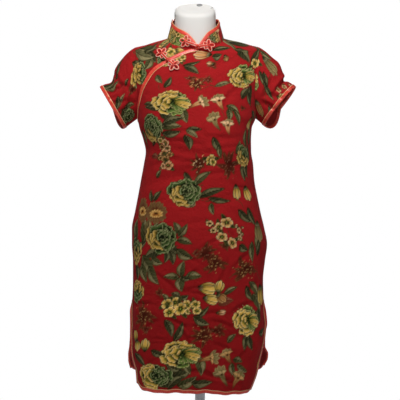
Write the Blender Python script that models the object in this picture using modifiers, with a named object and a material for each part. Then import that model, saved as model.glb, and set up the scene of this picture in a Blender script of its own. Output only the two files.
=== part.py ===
"""A short-sleeved floral cheongsam on a limbless dress form with a round-based stand.

Metres, +Z up. The dress faces -Y, so +X is on the right of someone who looks at its front.
The origin is the middle of the stand's underside, on the floor.
Each cloth piece is a thin closed wall. Its outer face is lofted through the section tables
below, and its inner face is the same points moved in by the cloth's thickness.
"""

import math
from collections import namedtuple

import bmesh
import bpy
import numpy as np
from mathutils import Matrix, Vector

# ---------------------------------------------------------------- driving sizes, in metres
CLOTH = 0.002  # wall of a cotton panel with its turned seams
SEAM_GAP = 0.0003  # left between two pieces that are sewn together
BINDING_WIDTH = 0.008  # satin strip along the edges
BINDING_WALL = 0.0010
BINDING_LIFT = 0.0004  # from the panel it is sewn on
BINDING_CLEAR = 0.0028  # from a sleeve's seam

FRONT_HEM = 0.4625
BACK_HEM = 0.500  # the back rides up over the seat
SLIT_TOP = 0.690
UNDERARM = 1.162
SHOULDER_TIP = 1.345
NECK_SEAM = 1.370
ROUNDNESS = 2.3  # exponent of the sections: 2 is an ellipse, more is squarer

# Half sections of the dress from the slits up. height is where a section meets the side
# seams; left and right are the sides; front and back are the depths of its middle; dip and
# lift are how far the centre front lies below the sides and the centre back above them;
# power is the exponent of its shape.
Ring = namedtuple("Ring", "height left right front back dip lift power")
TORSO = (
    Ring(SLIT_TOP, -0.1760, 0.1655, 0.109, 0.111, 0.000, 0.000, 2.30),
    Ring(0.742, -0.1742, 0.1638, 0.112, 0.115, 0.000, 0.000, 2.30),
    Ring(0.794, -0.1742, 0.1690, 0.115, 0.120, 0.000, 0.000, 2.30),
    Ring(0.836, -0.1768, 0.1742, 0.117, 0.121, 0.000, 0.000, 2.30),  # hip
    Ring(0.877, -0.1768, 0.1670, 0.116, 0.115, 0.000, 0.000, 2.30),
    Ring(0.919, -0.1690, 0.1570, 0.113, 0.104, 0.000, 0.000, 2.30),
    Ring(0.960, -0.1610, 0.1485, 0.110, 0.092, 0.000, 0.000, 2.30),
    Ring(1.002, -0.1534, 0.1410, 0.109, 0.083, 0.000, 0.000, 2.30),
    Ring(1.044, -0.1456, 0.1378, 0.114, 0.083, 0.000, 0.000, 2.30),  # waist
    Ring(1.075, -0.1410, 0.1330, 0.119, 0.088, 0.000, 0.000, 2.30),
    Ring(1.106, -0.1470, 0.1326, 0.122, 0.094, 0.000, 0.000, 2.30),  # bust
    Ring(1.137, -0.1570, 0.1345, 0.121, 0.098, 0.000, 0.000, 2.30),
    Ring(UNDERARM, -0.1620, 0.1440, 0.116, 0.100, 0.000, 0.000, 2.30),
    Ring(1.190, -0.1660, 0.1460, 0.110, 0.103, 0.002, 0.000, 2.30),
    Ring(1.220, -0.1715, 0.1505, 0.104, 0.104, 0.006, 0.000, 2.25),
    Ring(1.250, -0.1775, 0.1565, 0.098, 0.103, 0.012, 0.001, 2.20),
    Ring(1.280, -0.1815, 0.1615, 0.092, 0.100, 0.018, 0.003, 2.10),
    Ring(1.310, -0.1825, 0.1640, 0.085, 0.094, 0.023, 0.005, 2.00),
    Ring(1.330, -0.1785, 0.1625, 0.079, 0.088, 0.025, 0.006, 1.90),
    Ring(SHOULDER_TIP, -0.1715, 0.1575, 0.075, 0.082, 0.025, 0.008, 1.85),
    Ring(1.353, -0.1415, 0.1300, 0.073, 0.078, 0.027, 0.009, 1.85),
    Ring(1.360, -0.1200, 0.1060, 0.071, 0.074, 0.029, 0.010, 1.90),
    Ring(1.366, -0.0980, 0.0780, 0.069, 0.069, 0.031, 0.011, 2.00),
    Ring(NECK_SEAM, -0.0850, 0.0620, 0.068, 0.066, 0.033, 0.012, 2.10),
)

# Below the slits the front and the back hang on their own. open is how far a panel's slit
# edges have swung away from the side line.
Flap = namedtuple("Flap", "height left right depth open")
FRONT_SKIRT = (
    Flap(FRONT_HEM, -0.1655, 0.1340, 0.088, 0.024),
    Flap(0.500, -0.1685, 0.1490, 0.091, 0.020),
    Flap(0.534, -0.1770, 0.1575, 0.094, 0.016),
    Flap(0.565, -0.1812, 0.1650, 0.098, 0.012),
    Flap(0.596, -0.1815, 0.1715, 0.101, 0.009),
    Flap(0.628, -0.1812, 0.1740, 0.104, 0.006),
    Flap(0.660, -0.1815, 0.1712, 0.107, 0.003),
)
BACK_SKIRT = (
    Flap(BACK_HEM, -0.1820, 0.1680, 0.100, 0.018),
    Flap(0.525, -0.1865, 0.1760, 0.101, 0.015),
    Flap(0.545, -0.1865, 0.1770, 0.103, 0.012),
    Flap(0.570, -0.1835, 0.1690, 0.105, 0.009),
    Flap(0.600, -0.1815, 0.1690, 0.107, 0.006),
    Flap(0.628, -0.1812, 0.1740, 0.109, 0.004),
    Flap(0.660, -0.1815, 0.1712, 0.110, 0.002),
)

# Large soft folds: where the middle of each lies, which way it runs (turn, degrees from
# level), how long and wide it is, and how far it stands out (negative: a trough).
Fold = namedtuple("Fold", "x z turn length width depth")
FRONT_FOLDS = (
    Fold(0.050, 1.098, 4, 0.085, 0.013, -0.0030),
    Fold(-0.030, 1.070, -6, 0.095, 0.013, -0.0030),
    Fold(0.040, 1.038, 8, 0.080, 0.014, -0.0028),
    Fold(-0.070, 1.005, 14, 0.075, 0.014, -0.0026),
    Fold(0.085, 0.955, 24, 0.070, 0.016, -0.0024),
    Fold(0.085, 0.600, 24, 0.070, 0.018, -0.0040),
    Fold(-0.010, 0.560, -8, 0.090, 0.018, -0.0032),
    Fold(-0.105, 0.560, 78, 0.080, 0.018, 0.0040),
    Fold(0.070, 0.500, 64, 0.060, 0.020, 0.0036),
)
BACK_FOLDS = (
    Fold(0.020, 1.050, 4, 0.100, 0.014, -0.0034),
    Fold(-0.035, 1.012, -5, 0.095, 0.014, -0.0032),
    Fold(0.045, 0.975, 7, 0.080, 0.014, -0.0026),
    Fold(-0.090, 0.600, 74, 0.090, 0.020, 0.0040),
    Fold(0.080, 0.590, 100, 0.090, 0.020, 0.0040),
)
FOLD_FADE = 0.10  # share across in which folds die away towards the side seams
HEM_DIP = 0.0065  # the front hem hangs lowest right of its middle
HEM_DIP_AT = 0.86
HEM_DIP_WIDTH = 0.20
BACK_CORNER_RISE = (0.016, 0.026)  # left and right corners of the back hem are rounded up
BACK_CORNER_WIDTH = 0.07

# Armholes, at the sides of the torso between the underarm and the shoulder tip.
ARMHOLE_STEPS = 8
ARMHOLE_FRONT = 0.046  # half depths
ARMHOLE_BACK = 0.050
LAPEL_LEAVES = 2  # the step of the left armhole where the lapel edge starts
SHOULDER_STEPS = 3

# The lapel's edge seen from the front, from the left armhole to the centre front neck.
LapelPoint = namedtuple("LapelPoint", "x z")
LAPEL = (
    LapelPoint(-0.1519, 1.2303),
    LapelPoint(-0.1399, 1.2551),
    LapelPoint(-0.1184, 1.2849),
    LapelPoint(-0.0908, 1.3029),
    LapelPoint(-0.0613, 1.3186),
    LapelPoint(-0.0381, 1.3297),
    LapelPoint(-0.0200, 1.3345),
)
NECK_OPENING_X = -0.005
UNDERLAP_STRIP = 2  # columns of the front that it goes on under
UNDERLAP_SINK = 0.0034  # lies this far in, under the lapel's wall
UNDERLAP_RAMP = 0.014

# Short set-in sleeves. top and bottom are the cuff's ends seen from the front; turn and sag
# are how far the cuff's back half, and its lowest part, stand outside that line. On top each
# sleeve swells at one share of its length and sinks at another.
Sleeve = namedtuple("Sleeve", "side top_x top_z bottom_x bottom_z depth turn sag swell trough")
SLEEVES = {
    "sleeve_right": Sleeve(-1, -0.2600, 1.2440, -0.1975, 1.1365, 0.084, 0.002, 0.008, 0.001, 0.012),
    "sleeve_left": Sleeve(1, 0.2490, 1.2440, 0.1675, 1.1430, 0.086, 0.018, 0.020, 0.005, 0.007),
}
SLEEVE_STEPS = 8
SWELL_AT = 0.45
TROUGH_AT = 0.74
FOLD_SHARE = 0.12

# Stand collar. Its height grows with the distance along the seam from the centre front.
CollarPoint = namedtuple("CollarPoint", "along height")
COLLAR = (
    CollarPoint(0.000, 0.0050),
    CollarPoint(0.009, 0.0165),
    CollarPoint(0.019, 0.0285),
    CollarPoint(0.031, 0.0375),
    CollarPoint(0.055, 0.0430),
    CollarPoint(0.100, 0.0470),
    CollarPoint(0.260, 0.0480),
)
COLLAR_LEAN_SIDE = 0.013  # towards the neck over its full height
COLLAR_LEAN_FRONT = 0.008
COLLAR_LOW_ROWS = (0.0, 0.35, 0.7)  # shares of the height below the binding
COLLAR_OPENING = 0.003

# Knotted flower fastenings of satin cord. x and z are the flower's middle seen from the
# front, stem_x and stem_z the ball button or loop where the two halves meet.
Frog = namedtuple("Frog", "end x z stem_x stem_z bend lift end_lift")
FROGS = {
    "frog_collar_button": Frog("ball", -0.0345, 1.3600, -0.0070, 1.3385, 0.060, 0.0050, 0.0120),
    "frog_collar_loop": Frog("loop", 0.0180, 1.3430, -0.0070, 1.3385, 0.075, 0.0120, 0.0068),
    "frog_chest_button": Frog("ball", -0.0995, 1.3200, -0.0810, 1.3035, 0.110, 0.0034, 0.0082),
    "frog_chest_loop": Frog("loop", -0.0670, 1.2914, -0.0810, 1.3035, 0.130, 0.0044, 0.0044),
}
FROG_PETALS = 5
FROG_RADIUS = 0.0130
FROG_WAIST = 0.0040  # how near the petals come to the flower's middle
FROG_CORD = 0.0014  # radius
FROG_BEAD = 0.0036
BALL_RADIUS = 0.0030
LOOP_RADIUS = 0.0052

# Dress form: its own sections, about a line that leans to the left as it rises.
FormRing = namedtuple("FormRing", "height half front back dip lift")
FORM = (
    FormRing(0.600, 0.146, 0.084, 0.086, 0.000, 0.000),
    FormRing(0.640, 0.154, 0.092, 0.096, 0.000, 0.000),
    FormRing(0.700, 0.157, 0.099, 0.104, 0.000, 0.000),
    FormRing(0.760, 0.160, 0.105, 0.110, 0.000, 0.000),
    FormRing(0.830, 0.165, 0.110, 0.115, 0.000, 0.000),
    FormRing(0.880, 0.160, 0.108, 0.108, 0.000, 0.000),
    FormRing(0.940, 0.150, 0.105, 0.090, 0.000, 0.000),
    FormRing(1.000, 0.138, 0.101, 0.075, 0.000, 0.000),
    FormRing(1.040, 0.130, 0.103, 0.073, 0.000, 0.000),
    FormRing(1.080, 0.126, 0.109, 0.080, 0.000, 0.000),
    FormRing(1.110, 0.130, 0.113, 0.087, 0.000, 0.000),
    FormRing(1.137, 0.134, 0.111, 0.090, 0.000, 0.000),
    FormRing(1.162, 0.139, 0.106, 0.091, 0.000, 0.000),
    FormRing(1.190, 0.140, 0.099, 0.091, 0.002, 0.000),
    FormRing(1.220, 0.145, 0.093, 0.092, 0.006, 0.000),
    FormRing(1.250, 0.149, 0.087, 0.091, 0.012, 0.001),
    FormRing(1.280, 0.151, 0.081, 0.088, 0.018, 0.003),
    FormRing(1.305, 0.149, 0.075, 0.083, 0.022, 0.005),
    FormRing(1.324, 0.145, 0.069, 0.076, 0.024, 0.006),
    FormRing(1.337, 0.136, 0.065, 0.072, 0.025, 0.007),
    FormRing(1.348, 0.115, 0.060, 0.066, 0.026, 0.008),
    FormRing(1.358, 0.084, 0.057, 0.060, 0.026, 0.008),
    FormRing(1.368, 0.066, 0.055, 0.055, 0.024, 0.007),
    FormRing(1.384, 0.057, 0.053, 0.052, 0.022, 0.010),
    FormRing(1.410, 0.054, 0.052, 0.051, 0.022, 0.016),
    FormRing(1.438, 0.0535, 0.0515, 0.051, 0.022, 0.021),
    FormRing(1.444, 0.0520, 0.0500, 0.0495, 0.022, 0.022),
    FormRing(1.447, 0.0480, 0.0460, 0.0455, 0.021, 0.021),
)
FORM_COLUMNS = 28
FORM_LEAN = 0.012
FORM_STUB = 0.020  # the arm plates stand out this far through the armholes
FORM_STUB_HEIGHT = 1.255
FORM_STUB_REACH = 0.052
FORM_STUB_ANGLE = 0.24

POLE_RADIUS = 0.0125
FLANGE_RADIUS = 0.042
FLANGE_WALL = 0.006
BASE_RADIUS = 0.175
BASE_EDGE = 0.007
HUB_RADIUS = 0.021
HUB_TOP = 0.050
BASE_TOP = 0.014
PART_GAP = 0.0003

FRONT_COLUMNS = 20
BACK_COLUMNS = 18
UNDERLAP_COLUMNS = 10
ROW_STEP = 0.028  # between sections of the skirt and bodice

SHORTER = 0.87  # a cell is split the other way when that diagonal is this much shorter

RED_COTTON = (0.42, 0.016, 0.018)
CORAL_SATIN = (0.70, 0.075, 0.040)
WHITE_SHELL = (0.74, 0.72, 0.68)
CHROME = (0.62, 0.62, 0.63)


# ---------------------------------------------------------------- small tools
def smooth_through(places, values, at):
    """Reads a table's column at any place, on a cubic that never overshoots its rows."""
    places, values = np.asarray(places, float), np.asarray(values, float)
    steps = np.diff(places)
    slopes = np.diff(values) / steps
    tangents = np.zeros(len(places))
    tangents[0], tangents[-1] = slopes[0], slopes[-1]
    same_way = slopes[:-1] * slopes[1:] > 0
    together = np.where(same_way, slopes[:-1] + slopes[1:], 1.0)
    tangents[1:-1] = np.where(same_way, 2 * slopes[:-1] * slopes[1:] / together, 0.0)
    i = np.clip(np.searchsorted(places, at, side="right") - 1, 0, len(steps) - 1)
    h = steps[i]
    t = (np.asarray(at) - places[i]) / h
    return (
        values[i] * (1 + 2 * t) * (1 - t) ** 2
        + values[i + 1] * t * t * (3 - 2 * t)
        + h * tangents[i] * t * (1 - t) ** 2
        + h * tangents[i + 1] * t * t * (t - 1)
    )


def unit(vectors):
    length = np.linalg.norm(vectors, axis=-1, keepdims=True)
    return vectors / np.maximum(length, 1e-12)


def material(name, colour, roughness, metallic=0.0):
    made = bpy.data.materials.new(name)
    made.use_nodes = True
    shader = made.node_tree.nodes["Principled BSDF"]
    shader.inputs["Base Color"].default_value = (*colour, 1.0)
    shader.inputs["Roughness"].default_value = roughness
    shader.inputs["Metallic"].default_value = metallic
    return made


def add_object(name, mesh, collection, finish, smooth=True):
    """Links a mesh as the node called name. Corners that meet are merged, and a mesh that
    was made inside out is turned."""
    shape = bmesh.new()
    shape.from_mesh(mesh)
    bmesh.ops.remove_doubles(shape, verts=shape.verts, dist=0.00001)
    bmesh.ops.recalc_face_normals(shape, faces=shape.faces)
    if shape.calc_volume(signed=True) < 0:
        bmesh.ops.reverse_faces(shape, faces=shape.faces)
    shape.to_mesh(mesh)
    shape.free()
    mesh.materials.append(finish)
    made = bpy.data.objects.new(name, mesh)
    collection.objects.link(made)
    if smooth:
        mesh.shade_smooth()
        mesh.set_sharp_from_angle(angle=math.radians(40))
    return made


def wall(name, outer, inner, collection, finish, closed=False, keep=None):
    """A closed wall between two grids of points. keep picks the cells of the grid that it
    has, and closed joins the last column to the first."""
    rows, columns = outer.shape[:2]
    cells = columns if closed else columns - 1
    if keep is None:
        keep = np.ones((rows - 1, cells), bool)
    used, points, faces = {}, [], []

    def corner(i, j, layer):
        key = (i, j % columns, layer)
        if key not in used:
            used[key] = len(points)
            points.append(tuple((outer, inner)[layer][i, j % columns]))
        return used[key]

    def kept(i, j):
        if closed:
            j %= cells
        return 0 <= i < rows - 1 and 0 <= j < cells and keep[i, j]

    for i in range(rows - 1):
        for j in range(cells):
            if not keep[i, j]:
                continue
            around = ((i, j), (i, j + 1), (i + 1, j + 1), (i + 1, j))
            a, b, c, d = (outer[row, column % columns] for row, column in around)
            halves = ((0, 1, 2), (0, 2, 3))
            if np.linalg.norm(b - d) < SHORTER * np.linalg.norm(a - c):
                halves = ((0, 1, 3), (1, 2, 3))
            for half in halves:
                faces.append([corner(*around[k], 0) for k in half])
                faces.append([corner(*around[k], 1) for k in reversed(half)])
            beyond = ((i - 1, j), (i, j + 1), (i + 1, j), (i, j - 1))
            for side, neighbour in enumerate(beyond):
                if kept(*neighbour):
                    continue
                first, last = around[side], around[(side + 1) % 4]
                faces.append(
                    [corner(*last, 0), corner(*first, 0), corner(*first, 1), corner(*last, 1)]
                )
    mesh = bpy.data.meshes.new(name)
    mesh.from_pydata(points, [], faces)
    return add_object(name, mesh, collection, finish)


# ---------------------------------------------------------------- the front and back surfaces
class Panel:
    """The outer surface of the dress's front (side -1) or back (side +1)."""

    def __init__(self, side, skirt, folds):
        self.side, self.folds = side, folds
        deep = [ring.front if side < 0 else ring.back for ring in TORSO]
        drop = [ring.dip if side < 0 else -ring.lift for ring in TORSO]
        self.heights = [flap.height for flap in skirt] + [ring.height for ring in TORSO]
        self.left = [flap.left for flap in skirt] + [ring.left for ring in TORSO]
        self.right = [flap.right for flap in skirt] + [ring.right for ring in TORSO]
        self.depth = [flap.depth for flap in skirt] + deep
        self.open = [flap.open for flap in skirt] + [0.0] * len(TORSO)
        self.drop = [0.0] * len(skirt) + drop
        self.power = [ROUNDNESS] * len(skirt) + [ring.power for ring in TORSO]

    def read(self, column, height):
        return smooth_through(self.heights, column, height)

    def plain(self, across, height):
        """The point at a share across the section (0 left side, 1 right side), no folds."""
        angle = math.pi * (1 - across)
        cosine, sine = np.cos(angle), np.clip(np.sin(angle), 0, 1)
        power = 2 / self.read(self.power, height)
        sideways = np.sign(cosine) * np.abs(cosine) ** power
        inwards = sine**power
        left, right = self.read(self.left, height), self.read(self.right, height)
        opened, depth = self.read(self.open, height), self.read(self.depth, height)
        x = (left + right) / 2 + (right - left) / 2 * sideways
        y = self.side * (opened + (depth - opened) * inwards)
        z = height - self.read(self.drop, height) * inwards
        return np.stack([x, y, z], -1)

    def normal(self, across, height):
        step, rise = 0.002, 0.001
        before, after = np.clip(across - step, 0, 1), np.clip(across + step, 0, 1)
        along = self.plain(after, height) - self.plain(before, height)
        low = np.maximum(height - rise, self.heights[0])
        high = np.minimum(height + rise, self.heights[-1])
        up = self.plain(across, high) - self.plain(across, low)
        return unit(np.cross(along, up) * -self.side)

    def folded(self, across, height):
        """Points and outward normals with the folds added."""
        points, normals = self.plain(across, height), self.normal(across, height)
        stand = np.zeros(points.shape[:-1])
        for fold in self.folds:
            turn = math.radians(fold.turn)
            dx, dz = points[..., 0] - fold.x, points[..., 2] - fold.z
            along = dx * math.cos(turn) + dz * math.sin(turn)
            off = -dx * math.sin(turn) + dz * math.cos(turn)
            stand += fold.depth * np.exp(-((along / fold.length) ** 2) - (off / fold.width) ** 2)
        stand = stand * np.clip(np.minimum(across, 1 - across) / FOLD_FADE, 0, 1)
        return points + normals * stand[..., None], normals

    def armhole_across(self, height, right):
        """The share across at which the armhole's edge cuts a section."""
        reach = ARMHOLE_FRONT if self.side < 0 else ARMHOLE_BACK
        middle, half = (UNDERARM + SHOULDER_TIP) / 2, (SHOULDER_TIP - UNDERARM) / 2
        open_half = reach * math.sqrt(max(0.0, 1 - ((height - middle) / half) ** 2))
        sine = (open_half / self.read(self.depth, height)) ** (self.read(self.power, height) / 2)
        share = math.asin(sine) / math.pi
        return 1 - share if right else share

    def find(self, x, z):
        """The (across, height) of the point seen at x, z from the front or back."""
        height = z
        for _ in range(30):
            left, right = self.read(self.left, height), self.read(self.right, height)
            share = np.clip((x - (left + right) / 2) / ((right - left) / 2), -1, 1)
            power = self.read(self.power, height) / 2
            across = 1 - math.acos(np.sign(share) * abs(share) ** power) / math.pi
            inwards = math.sin(math.pi * across) ** (1 / power)
            height = min(z + self.read(self.drop, height) * inwards, NECK_SEAM)
        return across, height


def armhole_heights():
    middle, half = (UNDERARM + SHOULDER_TIP) / 2, (SHOULDER_TIP - UNDERARM) / 2
    return [
        middle - half * math.cos(math.pi * step / ARMHOLE_STEPS)
        for step in range(ARMHOLE_STEPS + 1)
    ]


def side_edge(panel, right):
    """(across, height) up a panel's armhole and shoulder seam, one pair for each upper row."""
    edge = [(panel.armhole_across(height, right), height) for height in armhole_heights()]
    for step in range(1, SHOULDER_STEPS + 1):
        height = SHOULDER_TIP + (NECK_SEAM - SHOULDER_TIP) * step / SHOULDER_STEPS
        edge.append((1.0 if right else 0.0, height))
    return edge


def lapel_edge(front):
    """(across, height) along the lapel, from the left armhole to the centre front neck."""
    start = side_edge(front, right=False)[LAPEL_LEAVES]
    x, _, z = front.plain(np.array(start[0]), np.array(start[1]))
    end_across, _ = front.find(NECK_OPENING_X, NECK_SEAM - TORSO[-1].dip)
    end = front.plain(np.array(end_across), np.array(NECK_SEAM))
    seen = np.array([(x, z), *LAPEL, (end[0], end[2])])
    length = np.concatenate([[0], np.cumsum(np.linalg.norm(np.diff(seen, axis=0), axis=1))])
    count = ARMHOLE_STEPS - LAPEL_LEAVES + SHOULDER_STEPS
    wanted = np.linspace(0, length[-1], count + 1)
    xs, zs = (smooth_through(length, seen[:, k], wanted) for k in (0, 1))
    middle = [front.find(x, z) for x, z in zip(xs[1:-1], zs[1:-1])]
    return [start, *middle, (end_across, NECK_SEAM)]


def rows_between(panel, left, right, columns, inset):
    """A grid of (across, height) from rows of end points. Its columns are evenly spaced on
    the cloth, but for the outermost, which lie inset from the edges."""
    share = np.linspace(0, 1, 401)
    grid = []
    for (left_across, left_height), (right_across, right_height) in zip(left, right):
        across = left_across + (right_across - left_across) * share
        height = left_height + (right_height - left_height) * share
        points = panel.plain(across, height)
        steps = np.linalg.norm(np.diff(points, axis=0), axis=1)
        length = np.concatenate([[0], np.cumsum(steps)])
        edge = min(inset, length[-1] / columns)
        places = [0.0, *np.linspace(edge, length[-1] - edge, columns - 1), length[-1]]
        at = np.interp(places, length, share)
        grid.append(
            np.stack(
                [
                    left_across + (right_across - left_across) * at,
                    left_height + (right_height - left_height) * at,
                ],
                -1,
            )
        )
    return np.array(grid)


def lower_rows(hem):
    """Heights of the sections from a hem to just under the arms, the first two a binding
    apart, with one at the top of the slits."""
    start = hem + BINDING_WIDTH
    low = np.linspace(start, SLIT_TOP, round((SLIT_TOP - start) / ROW_STEP) + 1)
    high = np.linspace(SLIT_TOP, UNDERARM, round((UNDERARM - SLIT_TOP) / ROW_STEP) + 1)
    return [hem, *low, *high[1:-1]], len(low)


# ---------------------------------------------------------------- sleeves
def armhole_ring(front, back, right):
    """Points and normals round an armhole, from the underarm up the front and down the back."""
    points, normals = [], []
    for panel, order in ((front, range(ARMHOLE_STEPS + 1)), (back, range(ARMHOLE_STEPS - 1, 0, -1))):
        edge = side_edge(panel, right)
        for step in order:
            across, height = np.array(edge[step][0]), np.array(edge[step][1])
            point, normal = panel.folded(across, height)
            points.append(point)
            normals.append(normal)
    for step in (0, ARMHOLE_STEPS):
        across, height = side_edge(back, right)[step]
        other = back.normal(np.array(across), np.array(height))
        normals[step] = unit(normals[step] + other)
    return np.array(points), np.array(normals)


def sleeve_grid(sleeve, ring):
    """Rows of points from the armhole to the cuff. Row by row, the last two a binding apart."""
    turn = np.radians(np.arange(2 * ARMHOLE_STEPS) * 180 / ARMHOLE_STEPS - 90)
    top = np.array([sleeve.top_x, 0, sleeve.top_z])
    bottom = np.array([sleeve.bottom_x, 0, sleeve.bottom_z])
    spine = top - bottom
    out = unit(np.array([sleeve.side * spine[2], 0, -sleeve.side * spine[0]]))
    cuff = (
        (top + bottom) / 2
        + np.outer(np.sin(turn), spine / 2)
        - np.outer(np.cos(turn), [0, sleeve.depth / 2, 0])
        - np.outer(np.cos(turn), out * sleeve.turn / 2)
        + np.outer(np.clip(np.sin(2 * turn), 0, 1) * (np.sin(turn) < 0), out * sleeve.sag)
    )
    reach = np.linalg.norm(cuff - ring, axis=1)[:, None]
    away = np.stack(
        [
            sleeve.side * np.full(len(turn), 0.82),
            -0.40 * np.cos(turn),
            -0.50 + 0.06 * np.sin(turn),
        ],
        -1,
    )
    near = ring + unit(away) * reach * 0.33
    far = cuff - unit(out + 0.25 * unit(cuff - ring)) * reach * 0.30
    shares = [*np.linspace(0, 1 - BINDING_WIDTH / 0.11, SLEEVE_STEPS), 1.0]
    rows = []
    for t in shares:
        row = ring * (1 - t) ** 3 + near * 3 * t * (1 - t) ** 2 + far * 3 * t * t * (1 - t) + cuff * t**3
        stand = sleeve.swell * math.exp(-(((t - SWELL_AT) / FOLD_SHARE) ** 2))
        stand -= sleeve.trough * math.exp(-(((t - TROUGH_AT) / FOLD_SHARE) ** 2))
        on_top = np.clip(np.sin(turn), 0, 1) ** 2
        row = row + np.outer(on_top * stand, [sleeve.side * 0.6, 0, 0.8])
        rows.append(row)
    return np.array(rows)


def grid_normals(grid, closed, outwards_from):
    """Unit normals of a grid of points, pointing away from a place inside it."""
    if closed:
        along = np.roll(grid, -1, axis=1) - np.roll(grid, 1, axis=1)
    else:
        along = np.gradient(grid, axis=1)
    up = np.gradient(grid, axis=0)
    normals = unit(np.cross(along, up))
    away = np.sum(normals * (grid - outwards_from), axis=-1)
    return normals * (1 if np.median(away) > 0 else -1)


# ---------------------------------------------------------------- seams
def mitred(normals, across_seam):
    """Inward directions at a seam: halfway between the two pieces' normals, and lengthened
    so that both walls keep their thickness."""
    middle = unit(normals + across_seam)
    lean = np.clip(np.sum(middle * normals, axis=-1, keepdims=True), 0.62, 1)
    return middle / lean


# ---------------------------------------------------------------- frogs
def tube_mesh(points, radius, cyclic=False):
    """A cord through points as a closed mesh."""
    curve = bpy.data.curves.new("cord", "CURVE")
    curve.dimensions = "3D"
    curve.bevel_depth = radius
    curve.bevel_resolution = 1
    curve.use_fill_caps = not cyclic
    spline = curve.splines.new("POLY")
    spline.points.add(len(points) - 1)
    for place, point in zip(spline.points, points):
        place.co = (*point, 1.0)
    spline.use_cyclic_u = cyclic
    holder = bpy.data.objects.new("cord", curve)
    bpy.context.scene.collection.objects.link(holder)
    evaluated = holder.evaluated_get(bpy.context.evaluated_depsgraph_get())
    mesh = bpy.data.meshes.new_from_object(evaluated)
    bpy.data.objects.remove(holder)
    shape = bmesh.new()
    shape.from_mesh(mesh)
    bmesh.ops.remove_doubles(shape, verts=shape.verts, dist=1e-5)
    shape.to_mesh(mesh)
    shape.free()
    return mesh


def ball_mesh(centre, radius):
    shape = bmesh.new()
    bmesh.ops.create_uvsphere(
        shape, u_segments=10, v_segments=6, radius=radius, matrix=Matrix.Translation(centre)
    )
    mesh = bpy.data.meshes.new("ball")
    shape.to_mesh(mesh)
    shape.free()
    return mesh


def make_frog(name, frog, surface_point, normal, stem_end, collection, cutters, finish):
    """One half of a fastening: a looped flower with a bead, a stem, and a ball or a loop."""
    out = Vector(normal).normalized()
    towards = Vector(stem_end) - Vector(surface_point)
    down = (towards - out * towards.dot(out)).normalized()
    sideways = out.cross(down)
    middle = Vector(surface_point) + out * frog.lift

    def place(along, across, lift=0.0):
        bend = (along**2 + across**2) / (2 * frog.bend)
        return middle + down * along + sideways * across + out * (lift - bend)

    petals = []
    for step in range(FROG_PETALS * 6):
        turn = 2 * math.pi * step / (FROG_PETALS * 6)
        reach = (1 - math.cos(FROG_PETALS * turn)) / 2
        radius = FROG_WAIST + (FROG_RADIUS - FROG_WAIST) * reach
        petals.append(place(radius * math.cos(turn), radius * math.sin(turn)))
    end = Vector(stem_end)
    start = place(0.001, 0, 0.0006)
    stop = end - (end - start).normalized() * (LOOP_RADIUS if frog.end == "loop" else 0)
    stem = [start.lerp(stop, share) for share in (0, 0.25, 0.5, 0.75, 1)]
    lifted = FROG_CORD * 1.4
    for share, point in zip((0, 0.25, 0.5, 0.75, 1), stem):
        point += out * lifted * math.sin(math.pi * share)
    pieces = [ball_mesh(middle, FROG_BEAD), tube_mesh(stem, FROG_CORD * 1.1)]
    if frog.end == "ball":
        pieces.append(ball_mesh(end, BALL_RADIUS))
    else:
        ring = []
        for step in range(12):
            turn = 2 * math.pi * step / 12
            ring.append(
                end + down * math.cos(turn) * LOOP_RADIUS + sideways * math.sin(turn) * LOOP_RADIUS
            )
        pieces.append(tube_mesh(ring, FROG_CORD * 0.9, cyclic=True))
    flower = add_object(name, tube_mesh(petals, FROG_CORD, cyclic=True), collection, finish)
    for number, mesh in enumerate(pieces):
        cutter = add_object(f"{name}_piece_{number}", mesh, cutters, finish)
        cutter.hide_render = True
        cutter.display_type = "WIRE"
        union = flower.modifiers.new(f"join_{number}", "BOOLEAN")
        union.operation = "UNION"
        union.object = cutter


# ---------------------------------------------------------------- the dress
class Cloth:
    """A grid of points with normals and the inward directions of its wall."""

    def __init__(self, points, normals):
        self.points, self.normals = points, normals
        self.inwards = normals.copy()

    def walls(self, seams):
        """Outer and inner points, drawn back from the seams that are named."""
        outer, inner = self.points.copy(), self.points - self.inwards * CLOTH
        for edge in seams:
            for grid in (outer, inner):
                first, second = {
                    "left": (grid[:, 0], grid[:, 1]),
                    "right": (grid[:, -1], grid[:, -2]),
                    "bottom": (grid[0], grid[1]),
                    "top": (grid[-1], grid[-2]),
                }[edge]
                first += unit(second - first) * SEAM_GAP * 0.6
        return outer, inner


def edge_cells(rows, columns, bottom=False, top=False, left=None, right=None):
    """Marks the outermost cells of a grid: whole edges, or the rows named for a side."""
    cells = np.zeros((rows, columns), bool)
    if bottom:
        cells[0, :] = True
    if top:
        cells[-1, :] = True
    if left:
        cells[left, 0] = True
    if right:
        cells[right, -1] = True
    return cells


def bind(name, outer, cloth, cells, collection, finish, closed=False):
    """A satin strip on the marked cells of a piece, a little clear of what it is sewn to."""
    high = outer + cloth.normals * (BINDING_LIFT + BINDING_WALL)
    wall(name, high, outer + cloth.normals * BINDING_LIFT, collection, finish, closed, cells)


def lay_out_front(front):
    """The front from its hem to the neck, with the lapel's edge at its upper left."""
    heights, slit_rows = lower_rows(FRONT_HEM)
    lapel = lapel_edge(front)
    left = [(0.0, height) for height in heights]
    left += side_edge(front, False)[:LAPEL_LEAVES] + lapel
    right = [(1.0, height) for height in heights] + side_edge(front, True)
    plan = rows_between(front, left, right, FRONT_COLUMNS, BINDING_WIDTH)
    cloth = Cloth(*front.folded(plan[..., 0], plan[..., 1]))
    share = np.linspace(0, 1, FRONT_COLUMNS + 1)
    dip = HEM_DIP * np.exp(-(((share - HEM_DIP_AT) / HEM_DIP_WIDTH) ** 2))
    for row, fade in ((0, 1.0), (1, 0.93), (2, 0.6), (3, 0.25)):
        cloth.points[row, :, 2] -= dip * fade
    return cloth, lapel, slit_rows, len(heights)


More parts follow.
